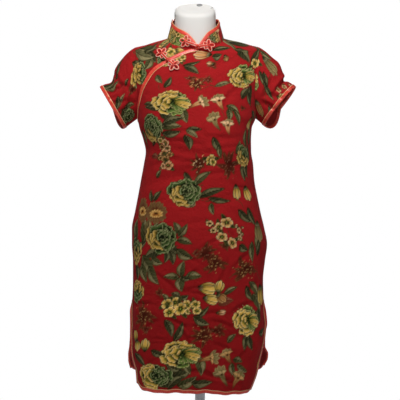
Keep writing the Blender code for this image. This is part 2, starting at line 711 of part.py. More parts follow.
def lay_out_back(back):
    """The back from its hem to the neck."""
    heights, slit_rows = lower_rows(BACK_HEM)
    left = [(0.0, height) for height in heights] + side_edge(back, False)
    right = [(1.0, height) for height in heights] + side_edge(back, True)
    plan = rows_between(back, left, right, BACK_COLUMNS, BINDING_WIDTH)
    cloth = Cloth(*back.folded(plan[..., 0], plan[..., 1]))
    share = np.linspace(0, 1, BACK_COLUMNS + 1)
    rise = BACK_CORNER_RISE[0] * np.exp(-((share / BACK_CORNER_WIDTH) ** 2))
    rise += BACK_CORNER_RISE[1] * np.exp(-(((1 - share) / BACK_CORNER_WIDTH) ** 2))
    for row, fade in ((0, 1.0), (1, 0.9), (2, 0.3)):
        cloth.points[row, :, 2] += rise * fade
    return cloth, slit_rows, len(heights)


def lay_out_underlap(front, front_cloth, lapel, lapel_row):
    """The small upper front that the lapel closes over, with a strip that goes on under it.
    Returns its neck edge as well, before the part near the lapel is sunk."""
    left = side_edge(front, False)[LAPEL_LEAVES:]
    plan = rows_between(front, left, lapel, UNDERLAP_COLUMNS, BINDING_WIDTH)
    points, normals = front.folded(plan[..., 0], plan[..., 1])
    neck = points[-1].copy()
    apart = np.linalg.norm(points - points[:, -1:], axis=-1)
    away = np.clip(apart / UNDERLAP_RAMP, 0, 1)
    sink = UNDERLAP_SINK * (1 - away * away * (3 - 2 * away))
    strip = slice(1, 1 + UNDERLAP_STRIP)
    points = np.concatenate([points, front_cloth.points[lapel_row:, strip]], axis=1)
    normals = np.concatenate([normals, front_cloth.normals[lapel_row:, strip]], axis=1)
    sink = np.concatenate([sink, np.full((len(points), UNDERLAP_STRIP), UNDERLAP_SINK)], axis=1)
    return Cloth(points - normals * sink[..., None], normals), neck


def lay_out_collar(base):
    """A band that stands on the neck seam, from the centre front round the back and home."""
    length = np.concatenate([[0], np.cumsum(np.linalg.norm(np.diff(base, axis=0), axis=1))])
    along = np.minimum(length, length[-1] - length)
    base[0, 0] -= COLLAR_OPENING / 2
    base[-1, 0] += COLLAR_OPENING / 2
    column = [[getattr(point, name) for point in COLLAR] for name in CollarPoint._fields]
    tall = smooth_through(*column, along)
    slope = (smooth_through(*column, along + 0.002) - tall) / 0.002
    bound = np.maximum(tall - BINDING_WIDTH * np.sqrt(1 + slope**2), 0.25 * tall)
    middle = np.array([(TORSO[-1].left + TORSO[-1].right) / 2, 0.0])
    radial = unit(base[:, :2] - middle)
    lean = COLLAR_LEAN_SIDE * radial[:, 0] ** 2 + COLLAR_LEAN_FRONT * radial[:, 1] ** 2
    rise = np.column_stack([-radial * (lean / COLLAR[-1].height)[:, None], np.ones(len(base))])
    heights = [bound * share for share in COLLAR_LOW_ROWS] + [bound, tall]
    points = np.array([base + rise * height[:, None] for height in heights])
    return Cloth(points, grid_normals(points, False, np.array([*middle, NECK_SEAM])))


def make_dress(dress, cutters):
    cotton = material("red_cotton", RED_COTTON, 0.75)
    satin = material("coral_satin", CORAL_SATIN, 0.35)
    front = Panel(-1, FRONT_SKIRT, FRONT_FOLDS)
    back = Panel(1, BACK_SKIRT, BACK_FOLDS)
    front_cloth, lapel, front_slit, first = lay_out_front(front)
    back_cloth, back_slit, back_first = lay_out_back(back)
    underlap, neck_left = lay_out_underlap(front, front_cloth, lapel, first + LAPEL_LEAVES)
    half = len(neck_left)
    base = [neck_left[::-1], back_cloth.points[-1, 1:-1], front_cloth.points[-1, ::-1]]
    collar = lay_out_collar(np.concatenate(base))

    # Side seams and shoulders: one inward direction for both pieces, counted from the neck.
    shoulder = range(1, SHOULDER_STEPS + 2)
    side = range(SHOULDER_STEPS + ARMHOLE_STEPS + 1, len(back_cloth.points) - back_slit + 1)
    seams = [(front_cloth, -1, (*shoulder, *side)), (underlap, 0, shoulder), (front_cloth, 0, side)]
    for piece, column, rows in seams:
        for row in rows:
            shared = mitred(piece.normals[-row, column], back_cloth.normals[-row, column])
            piece.inwards[-row, column] = back_cloth.inwards[-row, column] = shared

    # Armholes: one direction for the panel and the sleeve.
    sleeves = {}
    for name, sleeve in SLEEVES.items():
        is_right = sleeve.side > 0
        column = -1 if is_right else 0
        ring, ring_normals = armhole_ring(front, back, is_right)
        grid = sleeve_grid(sleeve, ring)
        cloth = Cloth(grid, grid_normals(grid, True, grid.mean(axis=(0, 1))))
        cloth.inwards[0] = mitred(cloth.normals[0], ring_normals)
        sleeves[name] = cloth
        for step in range(ARMHOLE_STEPS + 1):
            ahead, behind = cloth.inwards[0, step], cloth.inwards[0, -step]
            if is_right or step <= LAPEL_LEAVES:
                front_cloth.inwards[first + step, column] = ahead
            if not is_right and step > LAPEL_LEAVES:
                underlap.inwards[step - LAPEL_LEAVES, 0] = ahead
            back_cloth.inwards[back_first + step, column] = behind if step else ahead

    # Neck: one direction for the collar and what it stands on.
    around = [underlap.normals[-1, :half][::-1], back_cloth.normals[-1, 1:-1], front_cloth.normals[-1, ::-1]]
    around = np.concatenate(around)
    right_corner = len(around) - len(front_cloth.points[-1])
    for corner, column in ((half - 1, 0), (right_corner, -1)):
        around[corner] = unit(around[corner] + back_cloth.normals[-1, column])
    seam = mitred(collar.normals[0], around)
    collar.inwards[0] = seam
    underlap.inwards[-1, :half] = seam[:half][::-1]
    back_cloth.inwards[-1, 1:-1] = seam[half:right_corner]
    back_cloth.inwards[-1, 0], back_cloth.inwards[-1, -1] = seam[half - 1], seam[right_corner]
    front_cloth.inwards[-1] = seam[right_corner:][::-1]

    outer, inner = front_cloth.walls(("left", "right", "top"))
    wall("front", outer, inner, dress, cotton)
    size = len(outer) - 1, FRONT_COLUMNS
    slit = slice(0, front_slit)
    cells = edge_cells(*size, bottom=True, left=slit, right=slit)
    bind("binding_front_hem", outer, front_cloth, cells, dress, satin)
    cells = edge_cells(*size, left=slice(first, None))
    beside_sleeve = slice(first, first + LAPEL_LEAVES + 1)
    outer = outer.copy()
    outer[beside_sleeve, 0] += unit(outer[beside_sleeve, 1] - outer[beside_sleeve, 0]) * BINDING_CLEAR
    bind("binding_lapel", outer, front_cloth, cells, dress, satin)
    wall("underlap", *underlap.walls(("left", "top")), dress, cotton)
    outer, inner = back_cloth.walls(("left", "right", "top"))
    wall("back", outer, inner, dress, cotton)
    slit = slice(0, back_slit)
    cells = edge_cells(len(outer) - 1, BACK_COLUMNS, bottom=True, left=slit, right=slit)
    bind("binding_back_hem", outer, back_cloth, cells, dress, satin)
    outer, inner = collar.walls(("bottom",))
    wall("collar", outer, inner, dress, cotton)
    cells = edge_cells(len(outer) - 1, outer.shape[1] - 1, top=True)
    bind("binding_collar", outer, collar, cells, dress, satin)
    for name, cloth in sleeves.items():
        outer, inner = cloth.walls(("bottom",))
        wall(name, outer, inner, dress, cotton, closed=True)
        cells = edge_cells(len(outer) - 1, outer.shape[1], top=True)
        cuff = name.replace("sleeve", "binding_cuff")
        bind(cuff, outer, cloth, cells, dress, satin, closed=True)

    for name, frog in FROGS.items():
        across, height = map(np.array, front.find(frog.x, frog.z))
        point, normal = front.plain(across, height), front.normal(across, height)
        apart = np.hypot(collar.points[..., 0] - frog.x, collar.points[..., 2] - frog.z)
        apart += np.where(collar.points[..., 1] > 0, 1.0, 0.0)
        place = np.unravel_index(apart.argmin(), apart.shape)
        if frog.z > collar.points[0, place[1], 2]:
            point, normal = collar.points[place], collar.normals[place]
        across, height = map(np.array, front.find(frog.stem_x, frog.stem_z))
        end = front.plain(across, height) + front.normal(across, height) * frog.end_lift
        make_frog(name, frog, point, normal, end, dress, cutters, satin)


# ---------------------------------------------------------------- the form and its stand
def form_centre(height):
    low, high = FORM[0].height, FORM[-1].height
    return -FORM_LEAN * (height - low) / (high - low) - 0.001


def make_form(collection):
    """A smooth shell shape without limbs, its arm plates reaching into the sleeves."""
    column = {name: [getattr(ring, name) for ring in FORM] for name in FormRing._fields}
    rings = []
    turns = np.arange(FORM_COLUMNS) * 2 * math.pi / FORM_COLUMNS
    cosine, sine = np.cos(turns), np.sin(turns)
    sideways = np.sign(cosine) * np.abs(cosine) ** (2 / ROUNDNESS)
    deep = np.sign(sine) * np.abs(sine) ** (2 / ROUNDNESS)
    for ring in FORM:
        off_side = np.minimum(np.abs(np.sin(turns / 2)), np.abs(np.cos(turns / 2))) * 2
        plate = FORM_STUB * math.exp(-(((ring.height - FORM_STUB_HEIGHT) / FORM_STUB_REACH) ** 4))
        plate = plate * np.exp(-((off_side / FORM_STUB_ANGLE) ** 2)) * np.sign(cosine)
        x = form_centre(ring.height) + ring.half * sideways + plate
        y = np.where(deep < 0, ring.front, ring.back) * deep
        z = ring.height + np.where(deep < 0, ring.dip, ring.lift) * deep
        rings.append(np.stack([x, y, z], -1))
    points = np.concatenate(rings)
    faces = []
    for row in range(len(FORM) - 1):
        for turn in range(FORM_COLUMNS):
            after = (turn + 1) % FORM_COLUMNS
            low, high = row * FORM_COLUMNS, (row + 1) * FORM_COLUMNS
            faces.append((low + turn, low + after, high + after, high + turn))
    faces.append(tuple(range(FORM_COLUMNS)))
    faces.append(tuple(range(len(points) - FORM_COLUMNS, len(points))))
    mesh = bpy.data.meshes.new("form_torso")
    mesh.from_pydata([tuple(point) for point in points], [], faces)
    add_object("form_torso", mesh, collection, material("white_shell", WHITE_SHELL, 0.4))


def turned(name, profile, collection, finish, segments=32):
    """A turned piece: its profile runs down the outside at +X and is screwed round Z."""
    mesh = bpy.data.meshes.new(name)
    points = [(radius, 0.0, height) for radius, height in profile]
    mesh.from_pydata(points, [(i, i + 1) for i in range(len(points) - 1)], [])
    made = bpy.data.objects.new(name, mesh)
    collection.objects.link(made)
    mesh.materials.append(finish)
    screw = made.modifiers.new("turn", "SCREW")
    screw.steps = screw.render_steps = segments
    screw.use_merge_vertices = True
    screw.merge_threshold = 0.00001
    return made


def make_stand(collection):
    chrome = material("chrome", CHROME, 0.12, metallic=1.0)
    bottom = FORM[0].height
    flange_low = bottom - PART_GAP - FLANGE_WALL
    turned(
        "base",
        (
            (0.0, BASE_TOP),
            (HUB_RADIUS + 0.012, BASE_TOP),
            (BASE_RADIUS - 0.060, BASE_TOP - 0.003),
            (BASE_RADIUS - 0.003, BASE_EDGE + 0.001),
            (BASE_RADIUS, BASE_EDGE - 0.002),
            (BASE_RADIUS, 0.001),
            (BASE_RADIUS - 0.001, 0.0),
            (0.0, 0.0),
        ),
        collection,
        chrome,
    )
    turned(
        "hub",
        (
            (0.0, HUB_TOP),
            (HUB_RADIUS - 0.002, HUB_TOP),
            (HUB_RADIUS, HUB_TOP - 0.002),
            (HUB_RADIUS + 0.003, BASE_TOP + 0.003),
            (HUB_RADIUS + 0.002, BASE_TOP + PART_GAP),
            (0.0, BASE_TOP + PART_GAP),
        ),
        collection,
        chrome,
        segments=24,
    )
    turned(
        "pole",
        (
            (0.0, flange_low - PART_GAP),
            (POLE_RADIUS, flange_low - PART_GAP),
            (POLE_RADIUS, HUB_TOP + PART_GAP),
            (0.0, HUB_TOP + PART_GAP),
        ),
        collection,
        chrome,
        segments=20,
    )
    turned(
        "flange",
        (
            (0.0, bottom - PART_GAP),
            (FLANGE_RADIUS, bottom - PART_GAP),
            (FLANGE_RADIUS, flange_low + 0.002),
            (FLANGE_RADIUS - 0.002, flange_low),
            (0.0, flange_low),
        ),
        collection,
        chrome,
        segments=24,
    )


def main():
    for old in list(bpy.data.objects):
        bpy.data.objects.remove(old)
    dress = bpy.data.collections.new("cheongsam_on_dress_form")
    cutters = bpy.data.collections.new("frog_pieces")
    bpy.context.scene.collection.children.link(dress)
    bpy.context.scene.collection.children.link(cutters)
    make_dress(dress, cutters)
    make_form(dress)
    make_stand(dress)


main()
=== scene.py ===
from collections import namedtuple
from math import acos, asin, atan2, cos, exp, hypot, pi, radians, sin, sqrt

import bmesh
import bpy
import numpy as np
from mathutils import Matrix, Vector
from numpy.linalg import norm


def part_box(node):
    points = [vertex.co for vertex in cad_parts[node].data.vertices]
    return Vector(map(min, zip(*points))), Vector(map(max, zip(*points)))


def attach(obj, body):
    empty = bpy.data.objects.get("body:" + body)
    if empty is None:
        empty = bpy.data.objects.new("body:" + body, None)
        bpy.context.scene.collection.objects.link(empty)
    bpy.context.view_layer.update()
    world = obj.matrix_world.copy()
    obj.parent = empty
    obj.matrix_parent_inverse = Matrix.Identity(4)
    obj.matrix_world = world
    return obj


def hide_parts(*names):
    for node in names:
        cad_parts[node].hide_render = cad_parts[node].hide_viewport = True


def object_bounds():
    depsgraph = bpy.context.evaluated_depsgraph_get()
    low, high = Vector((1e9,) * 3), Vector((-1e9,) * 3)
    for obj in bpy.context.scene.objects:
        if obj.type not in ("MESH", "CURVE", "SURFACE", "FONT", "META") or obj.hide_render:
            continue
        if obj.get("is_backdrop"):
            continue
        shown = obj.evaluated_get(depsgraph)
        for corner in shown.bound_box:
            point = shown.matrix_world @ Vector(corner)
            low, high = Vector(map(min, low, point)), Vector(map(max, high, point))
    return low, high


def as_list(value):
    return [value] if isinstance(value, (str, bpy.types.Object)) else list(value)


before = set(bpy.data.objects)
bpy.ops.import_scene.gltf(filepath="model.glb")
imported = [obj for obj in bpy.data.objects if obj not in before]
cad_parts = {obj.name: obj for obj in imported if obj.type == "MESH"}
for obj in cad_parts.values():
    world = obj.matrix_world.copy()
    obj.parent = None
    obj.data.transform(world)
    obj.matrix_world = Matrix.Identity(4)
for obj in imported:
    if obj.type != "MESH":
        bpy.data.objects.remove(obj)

cad_low, cad_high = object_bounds()

# ------------------------------------------------------------------ the stand
# A pressed steel disc, a turned hub, a tube and a fixing plate under the form, all polished
# and chromed. The tube is pushed into the hub, and the plate is screwed to the form.
POLE, BASE, HUB, PLATE = 12.5, 175, 21, 42  # radii in millimetres


def linear(colour):
    """An sRGB hex colour as linear red, green, blue and alpha."""
    parts = [int(colour[i : i + 2], 16) / 255 for i in (1, 3, 5)]
    return tuple(p / 12.92 if p <= 0.04045 else ((p + 0.055) / 1.055) ** 2.4 for p in parts) + (1.0,)


def add_node(tree, kind, inputs=None, **settings):
    """Adds a node. Its inputs take values or the sockets that feed them."""
    node = tree.nodes.new(kind)
    for name, value in settings.items():
        setattr(node, name, value)
    for socket, value in (inputs or {}).items():
        if isinstance(value, bpy.types.NodeSocket):
            tree.links.new(value, node.inputs[socket])
        else:
            node.inputs[socket].default_value = value
    return node


def finish(name, colour, **sockets):
    """A material with its Principled shader's own sockets set."""
    made = bpy.data.materials.new(name)
    made.use_nodes = True
    shader = made.node_tree.nodes["Principled BSDF"]
    shader.inputs["Base Color"].default_value = linear(colour)
    for socket, value in sockets.items():
        shader.inputs[socket.replace("_", " ")].default_value = value
    return made, made.node_tree, shader


def set_out(name, data):
    """Puts a mesh, a lamp or a camera in the scene."""
    made = bpy.data.objects.new(name, data)
    bpy.context.scene.collection.objects.link(made)
    return made


def add_piece(name, mesh, materials, stands_for=()):
    made = set_out(name, mesh)
    for coat in materials:
        mesh.materials.append(coat)
    mesh.shade_smooth()
    mesh.set_sharp_from_angle(angle=radians(42))
    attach(made, "root")
    if stands_for:
        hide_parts(*stands_for)
    return made


def turned(name, profile, steps=96):
    """A mesh turned round the upright axis from (radius, height) pairs, from top to bottom."""
    shape = bmesh.new()
    corners = [shape.verts.new((radius, 0, height)) for radius, height in profile]
    edges = [shape.edges.new(pair) for pair in zip(corners, corners[1:])]
    bmesh.ops.spin(shape, geom=corners + edges, cent=(0, 0, 0), axis=(0, 0, 1), angle=2 * pi, steps=steps)
    bmesh.ops.remove_doubles(shape, verts=shape.verts, dist=0.00002)
    bmesh.ops.recalc_face_normals(shape, faces=shape.faces)
    mesh = bpy.data.meshes.new(name)
    shape.to_mesh(mesh)
    shape.free()
    return mesh


# Bright nickel chrome on polished steel: a mirror with faint polishing clouds 11 mm apart.
chrome, tree, shader = finish("polished_chrome_plate", "#949496", Metallic=1, Roughness=0.12)
place = add_node(tree, "ShaderNodeTexCoord").outputs["Object"]
rings = add_node(tree, "ShaderNodeTexNoise", {"Vector": place, "Scale": 90, "Detail": 3})
wear = add_node(tree, "ShaderNodeMapRange", {"Value": rings.outputs["Fac"], "To Min": 0.09, "To Max": 0.2})
tree.links.new(wear.outputs["Result"], shader.inputs["Roughness"])


def stand_part(name, node, steps, profile):
    """A chromed part turned round the pole's axis, from its CAD node's top to its foot."""
    low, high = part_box(node)
    corners = [(radius / 1000, (low, high)[end].z + rise / 1000) for radius, end, rise in profile]
    add_piece(name, turned(name, corners, steps), [chrome], [node])


# Radius, the end that the height is measured from, and that height, in millimetres.
FOOT, TOP = 0, 1
BASE_RIM = (
    (0, TOP, 0), (HUB + 12, TOP, 0), (80, TOP, -1.2), (BASE - 60, TOP, -3), (BASE - 20, TOP, -4.7),
    (BASE - 6, TOP, -5.8), (BASE - 2, TOP, -7.4), (BASE, TOP, -10), (BASE, FOOT, 1.6),
    (BASE - 1.2, FOOT, 0.2), (0, FOOT, 0),
)
HUB_BARREL = (
    (POLE + 0.2, TOP, 0), (HUB - 2.2, TOP, 0), (HUB - 0.6, TOP, -0.7), (HUB, TOP, -2.2), (HUB, TOP, -10),
    (HUB - 0.8, TOP, -10.6), (HUB, TOP, -11.2), (HUB + 1.2, FOOT, 9), (HUB + 3, FOOT, 3),
    (HUB + 2.8, FOOT, 0), (0, FOOT, 0),
)
POLE_TUBE = ((0, TOP, 0), (POLE - 0.6, TOP, 0), (POLE, TOP, -0.6), (POLE, FOOT, 0), (0, FOOT, 0))
FIXING_PLATE = (
    (0, TOP, 0), (PLATE - 0.4, TOP, 0), (PLATE, TOP, -0.6), (PLATE, FOOT, 2.4), (PLATE - 0.8, FOOT, 0.8),
    (PLATE - 2.4, FOOT, 0), (0, FOOT, 0),
)
stand_part("stand_base", "base", 128, BASE_RIM)
stand_part("stand_hub", "hub", 72, HUB_BARREL)
stand_part("stand_pole", "pole", 64, POLE_TUBE)
stand_part("form_plate", "flange", 80, FIXING_PLATE)

# ------------------------------------------------------------------ the form
# A limbless dressmaker's form, moulded as a thin shell of white plastic, with a separate cap
# let into the sloped top of its neck and a socket in the cap for a hanging hook.
ROUNDNESS = 2.3
FORM_LEAN = 0.012
FORM_STUB, FORM_STUB_HEIGHT, FORM_STUB_REACH, FORM_STUB_ANGLE = 0.02, 1.255, 0.052, 0.24
FORM_ROWS, FORM_COLUMNS = 150, 112
FormRing = namedtuple("FormRing", "height half front back dip lift")


def records(kind, rows):
    """Rows of millimetres as records in metres. Turns and powers stay as they are."""
    parts = [1 if name in ("turn", "power") else 1000 for name in kind._fields]
    return [kind(*(value / part for value, part in zip(row, parts))) for row in rows]


FORM = records(FormRing, (
    (600, 146, 84, 86, 0, 0), (640, 154, 92, 96, 0, 0), (700, 157, 99, 104, 0, 0),
    (760, 160, 105, 110, 0, 0), (830, 165, 110, 115, 0, 0), (880, 160, 108, 108, 0, 0),
    (940, 150, 105, 90, 0, 0), (1000, 138, 101, 75, 0, 0), (1040, 130, 103, 73, 0, 0),
    (1080, 126, 109, 80, 0, 0), (1110, 130, 113, 87, 0, 0), (1137, 134, 111, 90, 0, 0),
    (1162, 139, 106, 91, 0, 0), (1190, 140, 99, 91, 2, 0), (1220, 145, 93, 92, 6, 0),
    (1250, 149, 87, 91, 12, 1), (1280, 151, 81, 88, 18, 3), (1305, 149, 75, 83, 22, 5),
    (1324, 145, 69, 76, 24, 6), (1337, 136, 65, 72, 25, 7), (1348, 115, 60, 66, 26, 8),
    (1358, 84, 57, 60, 26, 8), (1368, 66, 55, 55, 24, 7), (1384, 57, 53, 52, 22, 10),
    (1410, 54, 52, 51, 22, 16), (1438, 53.5, 51.5, 51, 22, 21), (1444, 52, 50, 49.5, 22, 22),
    (1447, 48, 46, 45.5, 21, 21),
))
# The cap: share of the neck's radius, and how far it stands above the rim.
NECK_CAP = (
    (0.975, 0.0003), (0.955, -0.0006), (0.935, 0.0004), (0.8, 0.0009), (0.6, 0.0013), (0.4, 0.0015),
    (0.2, 0.0016), (0.02, 0.0016),
)
# The socket and a filled hole: where the middle is, its radius and depth.
SOCKET = (-0.0013, 0.031, 0.0078, 0.0045)
FILLED_HOLE = (-0.019, -0.019, 0.0105, 0.0009)


def smooth_through(places, values, at):
    """Reads a table's column at any place, on a cubic that never overshoots its rows."""
    places, values = np.asarray(places, float), np.asarray(values, float)
    steps = np.diff(places)
    slopes = np.diff(values) / steps
    tangents = np.zeros(len(places))
    tangents[0], tangents[-1] = slopes[0], slopes[-1]
    same_way = slopes[:-1] * slopes[1:] > 0
    together = np.where(same_way, slopes[:-1] + slopes[1:], 1.0)
    tangents[1:-1] = np.where(same_way, 2 * slopes[:-1] * slopes[1:] / together, 0.0)
    i = np.clip(np.searchsorted(places, at, side="right") - 1, 0, len(steps) - 1)
    h = steps[i]
    t = (np.asarray(at) - places[i]) / h
    return (
        values[i] * (1 + 2 * t) * (1 - t) ** 2
        + values[i + 1] * t * t * (3 - 2 * t)
        + h * tangents[i] * t * (1 - t) ** 2
        + h * tangents[i + 1] * t * t * (t - 1)
    )


def grid_faces(rows, columns, closed=False, first=0, flipped=False):
    """Four-sided faces of a grid of points that are numbered row by row."""
    cells = columns if closed else columns - 1
    i, j = np.meshgrid(np.arange(rows - 1), np.arange(cells), indexing="ij")
    after = (j + 1) % columns
    corners = [i * columns + j, i * columns + after, (i + 1) * columns + after, (i + 1) * columns + j]
    faces = np.stack(corners, -1).reshape(-1, 4) + first
    return faces[:, ::-1] if flipped else faces


def mesh_of(name, points, faces):
    mesh = bpy.data.meshes.new(name)
    mesh.from_pydata(np.asarray(points).tolist(), [], [list(map(int, face)) for face in faces])
    mesh.update()
    return mesh


columns = {name: [getattr(ring, name) for ring in FORM] for name in FormRing._fields}
turn = np.arange(FORM_COLUMNS) * 2 * pi / FORM_COLUMNS
cosine, sine = np.cos(turn), np.sin(turn)
sideways = np.sign(cosine) * np.abs(cosine) ** (2 / ROUNDNESS)
deep = np.sign(sine) * np.abs(sine) ** (2 / ROUNDNESS)
off_side = np.minimum(np.abs(np.sin(turn / 2)), np.abs(np.cos(turn / 2))) * 2
low, high = FORM[0].height, FORM[-1].height
rings = []
for height in np.linspace(low, high, FORM_ROWS):
    read = {name: smooth_through(columns["height"], columns[name], height) for name in columns}
    plate = FORM_STUB * exp(-(((height - FORM_STUB_HEIGHT) / FORM_STUB_REACH) ** 4))
    plate = plate * np.exp(-((off_side / FORM_STUB_ANGLE) ** 2)) * np.sign(cosine)
    centre = -FORM_LEAN * (height - low) / (high - low) - 0.001
    x = centre + read["half"] * sideways + plate
    y = np.where(deep < 0, read["front"], read["back"]) * deep
    z = height + np.where(deep < 0, read["dip"], read["lift"]) * deep
    rings.append(np.stack([x, y, z], -1))
top = rings[-1]
neck = np.array([centre, 0, high])
for share, stand in NECK_CAP:
    ring = neck + (top - neck) * share
    ring[:, 2] += stand
    rings.append(ring)
for x, y, radius, depth in (SOCKET, FILLED_HOLE):
    for ring in rings[FORM_ROWS:]:
        apart = np.hypot(ring[:, 0] - x, ring[:, 1] - y) / radius
        ring[:, 2] -= depth * np.clip(1.5 * (1 - apart) + 0.5, 0, 1)
bottom = rings[0]
flat_end = np.full(len(bottom), low)
under = [np.column_stack([bottom[:, :2] * share, flat_end]) for share in (0.02, 0.5, 0.94)]
bottom[:, 2] = low + 0.0035
points = np.concatenate(under + rings)
faces = [*grid_faces(len(under) + len(rings), FORM_COLUMNS, closed=True)]
faces.append(range(FORM_COLUMNS - 1, -1, -1))
faces.append(range(len(points) - FORM_COLUMNS, len(points)))


def mottle(tree, shader, one, other, **noise):
    """Colours a finish by a noise that wanders between two shades. Returns the noise."""
    cloud = add_node(tree, "ShaderNodeTexNoise", noise).outputs["Fac"]
    shades = {"Fac": cloud, "Color1": linear(one), "Color2": linear(other)}
    tint = add_node(tree, "ShaderNodeMixRGB", shades)
    tree.links.new(tint.outputs["Color"], shader.inputs["Base Color"])
    return cloud


# Moulded white polyethylene: satin, a little see-through at its skin, with a slight grey bloom
# of handling and a fine orange peel from the mould, its pits 2.4 mm apart.
shell, tree, shader = finish(
    "moulded_white_shell", "#dcdad6", Roughness=0.55, IOR=1.49, Subsurface_Weight=0.04,
    Subsurface_Radius=(0.006, 0.005, 0.004),
)
place = add_node(tree, "ShaderNodeTexCoord").outputs["Object"]
mottle(tree, shader, "#e4e1dc", "#dcd9d4", Vector=place, Scale=9, Detail=4)
peel = add_node(tree, "ShaderNodeTexNoise", {"Vector": place, "Scale": 420, "Detail": 2})
pits = {"Height": peel.outputs["Fac"], "Strength": 0.1, "Distance": 0.0004}
tree.links.new(add_node(tree, "ShaderNodeBump", pits).outputs["Normal"], shader.inputs["Normal"])
add_piece("form_shell", mesh_of("form_shell", points, faces), [shell], ["form_torso"])

# The socket's lining, a dark grey moulded bush, and the nick where the cap is prised out. The nick is not
# cut: it is a flat grey slab in the cap, painted shade where the notch would be.
grey, tree, shader = finish("grey_bush_and_painted_nick_shade", "#8f8f8c", Roughness=0.55, IOR=1.49)
slope = (top[:, 2].max() - top[:, 2].min()) / (top[:, 1].max() - top[:, 1].min())
x, y, radius, depth = SOCKET
# Share of the radius, and height over the cap.
BUSH = ((0, -0.003), (0.66, -0.003), (0.8, 0.0006), (0.96, 0.0004), (1, -0.0014))
bush = turned("neck_socket", [(radius * share, rise) for share, rise in BUSH], 40)
centre_height = high + NECK_CAP[-1][1]
for corner in bush.vertices:
    corner.co.z += corner.co.y * slope
    corner.co += Vector((x, y, centre_height + y * slope))
add_piece("neck_socket", bush, [grey])
# Painted shade: the nick is a thin grey slab at the cap's surface, standing for the shade inside the notch.
nick = [(0.0275, 0.003), (0.0281, 0.002), (0.0345, 0.0082), (0.034, 0.0092)]
nick = [(px, py, centre_height + py * slope - lift) for lift in (-0.0002, 0.0008) for px, py in nick]
faces = [(0, 1, 2, 3), (7, 6, 5, 4), (0, 4, 5, 1), (1, 5, 6, 2), (2, 6, 7, 3), (3, 7, 4, 0)]
add_piece("cap_nick_painted_shade", mesh_of("cap_nick_painted_shade", nick, faces), [grey])

# ------------------------------------------------------------------ front and back panels
# Printed cotton, cut as one front that laps to the wearer's right and one back, shaped at the
# side seams. They hang free below the side slits, with soft drag lines at bust, waist and hem.
CLOTH = 0.0012  # seen thickness of the cotton with its turned seams
SLIT_TOP, UNDERARM, SHOULDER_TIP, NECK_SEAM = 0.69, 1.162, 1.345, 1.37
THREAD_GRID = 11  # rows of points for each row of the solid model
ARMHOLE_STEPS, SHOULDER_STEPS, LAPEL_LEAVES = 8 * THREAD_GRID, 3 * THREAD_GRID, 2 * THREAD_GRID
ARMHOLE_FRONT, ARMHOLE_BACK = 0.046, 0.05
ARMHOLE_MIDDLE, ARMHOLE_HALF = (UNDERARM + SHOULDER_TIP) / 2, (SHOULDER_TIP - UNDERARM) / 2
ROW_STEP = 0.0025
PANEL_COLUMNS, ROW_SAMPLES = 208, 240
THREAD_SAMPLES, THREAD_LEVELS = 160, 90
Ring = namedtuple("Ring", "height left right front back dip lift power", defaults=(0, 0, ROUNDNESS))
TORSO = records(Ring, (
    (690, -176, 165.5, 109, 111), (742, -174.2, 163.8, 112, 115), (794, -174.2, 169, 115, 120),
    (836, -176.8, 174.2, 117, 121),  # hip
    (877, -176.8, 167, 116, 115), (919, -169, 157, 113, 104), (960, -161, 148.5, 110, 92),
    (1002, -153.4, 141, 109, 83),
    (1044, -145.6, 137.8, 114, 83),  # waist
    (1075, -141, 133, 119, 88),
    (1106, -147, 132.6, 122, 94),  # bust
    (1137, -157, 134.5, 121, 98), (1162, -162, 144, 116, 100), (1190, -166, 146, 110, 103, 2),
    (1220, -171.5, 150.5, 104, 104, 6, 0, 2.25), (1250, -177.5, 156.5, 98, 103, 12, 1, 2.2),
    (1280, -181.5, 161.5, 92, 100, 18, 3, 2.1), (1310, -182.5, 164, 85, 94, 23, 5, 2),
    (1330, -178.5, 162.5, 79, 88, 25, 6, 1.9), (1345, -171.5, 157.5, 75, 82, 25, 8, 1.85),
    (1353, -141.5, 130, 73, 78, 27, 9, 1.85), (1360, -120, 106, 71, 74, 29, 10, 1.9),
    (1366, -98, 78, 69, 69, 31, 11, 2), (1370, -85, 62, 68, 66, 33, 12, 2.1),
))
Flap = namedtuple("Flap", "height left right depth open")
FRONT_SKIRT = records(Flap, (
    (462.5, -165.5, 134, 88, 24), (500, -168.5, 149, 91, 20), (534, -177, 157.5, 94, 16),
    (565, -181.2, 165, 98, 12), (596, -181.5, 171.5, 101, 9), (628, -181.2, 174, 104, 6),
    (660, -181.5, 171.2, 107, 3),
))
BACK_SKIRT = records(Flap, (
    (500, -182, 168, 100, 18), (525, -186.5, 176, 101, 15), (545, -186.5, 177, 103, 12),
    (570, -183.5, 169, 105, 9), (600, -181.5, 169, 107, 6), (628, -181.2, 174, 109, 4),
    (660, -181.5, 171.2, 110, 2),
))
# Soft folds: where the middle of each lies, which way it runs in degrees from level, how long
# and wide it is, and how far it stands out (negative: a trough). In millimetres and degrees.
Fold = namedtuple("Fold", "x z turn length width depth")
FRONT_FOLDS = records(Fold, (
    (50, 1098, 4, 85, 13, -3), (-30, 1070, -6, 95, 13, -3), (40, 1038, 8, 80, 14, -2.8),
    (-70, 1005, 14, 75, 14, -2.6), (85, 955, 24, 70, 16, -2.4), (85, 600, 24, 70, 18, -4),
    (-10, 560, -8, 90, 18, -3.2), (-105, 560, 78, 80, 18, 4), (70, 500, 64, 60, 20, 3.6),
))
BACK_FOLDS = records(Fold, (
    (20, 1050, 4, 100, 14, -3.4), (-35, 1012, -5, 95, 14, -3.2), (45, 975, 7, 80, 14, -2.6),
    (-90, 600, 74, 90, 20, 4), (80, 590, 100, 90, 20, 4),
))
FOLD_FADE, SIDE_FADE = 0.1, 0.03  # a share of the width, and metres from the side seam
HEM_DIP, HEM_DIP_AT, HEM_DIP_WIDTH = 0.0065, 0.86, 0.2
FRONT_CORNER_RISE, FRONT_CORNER_WIDTH, HEM_RIPPLE = 0.016, 0.085, 0.0011
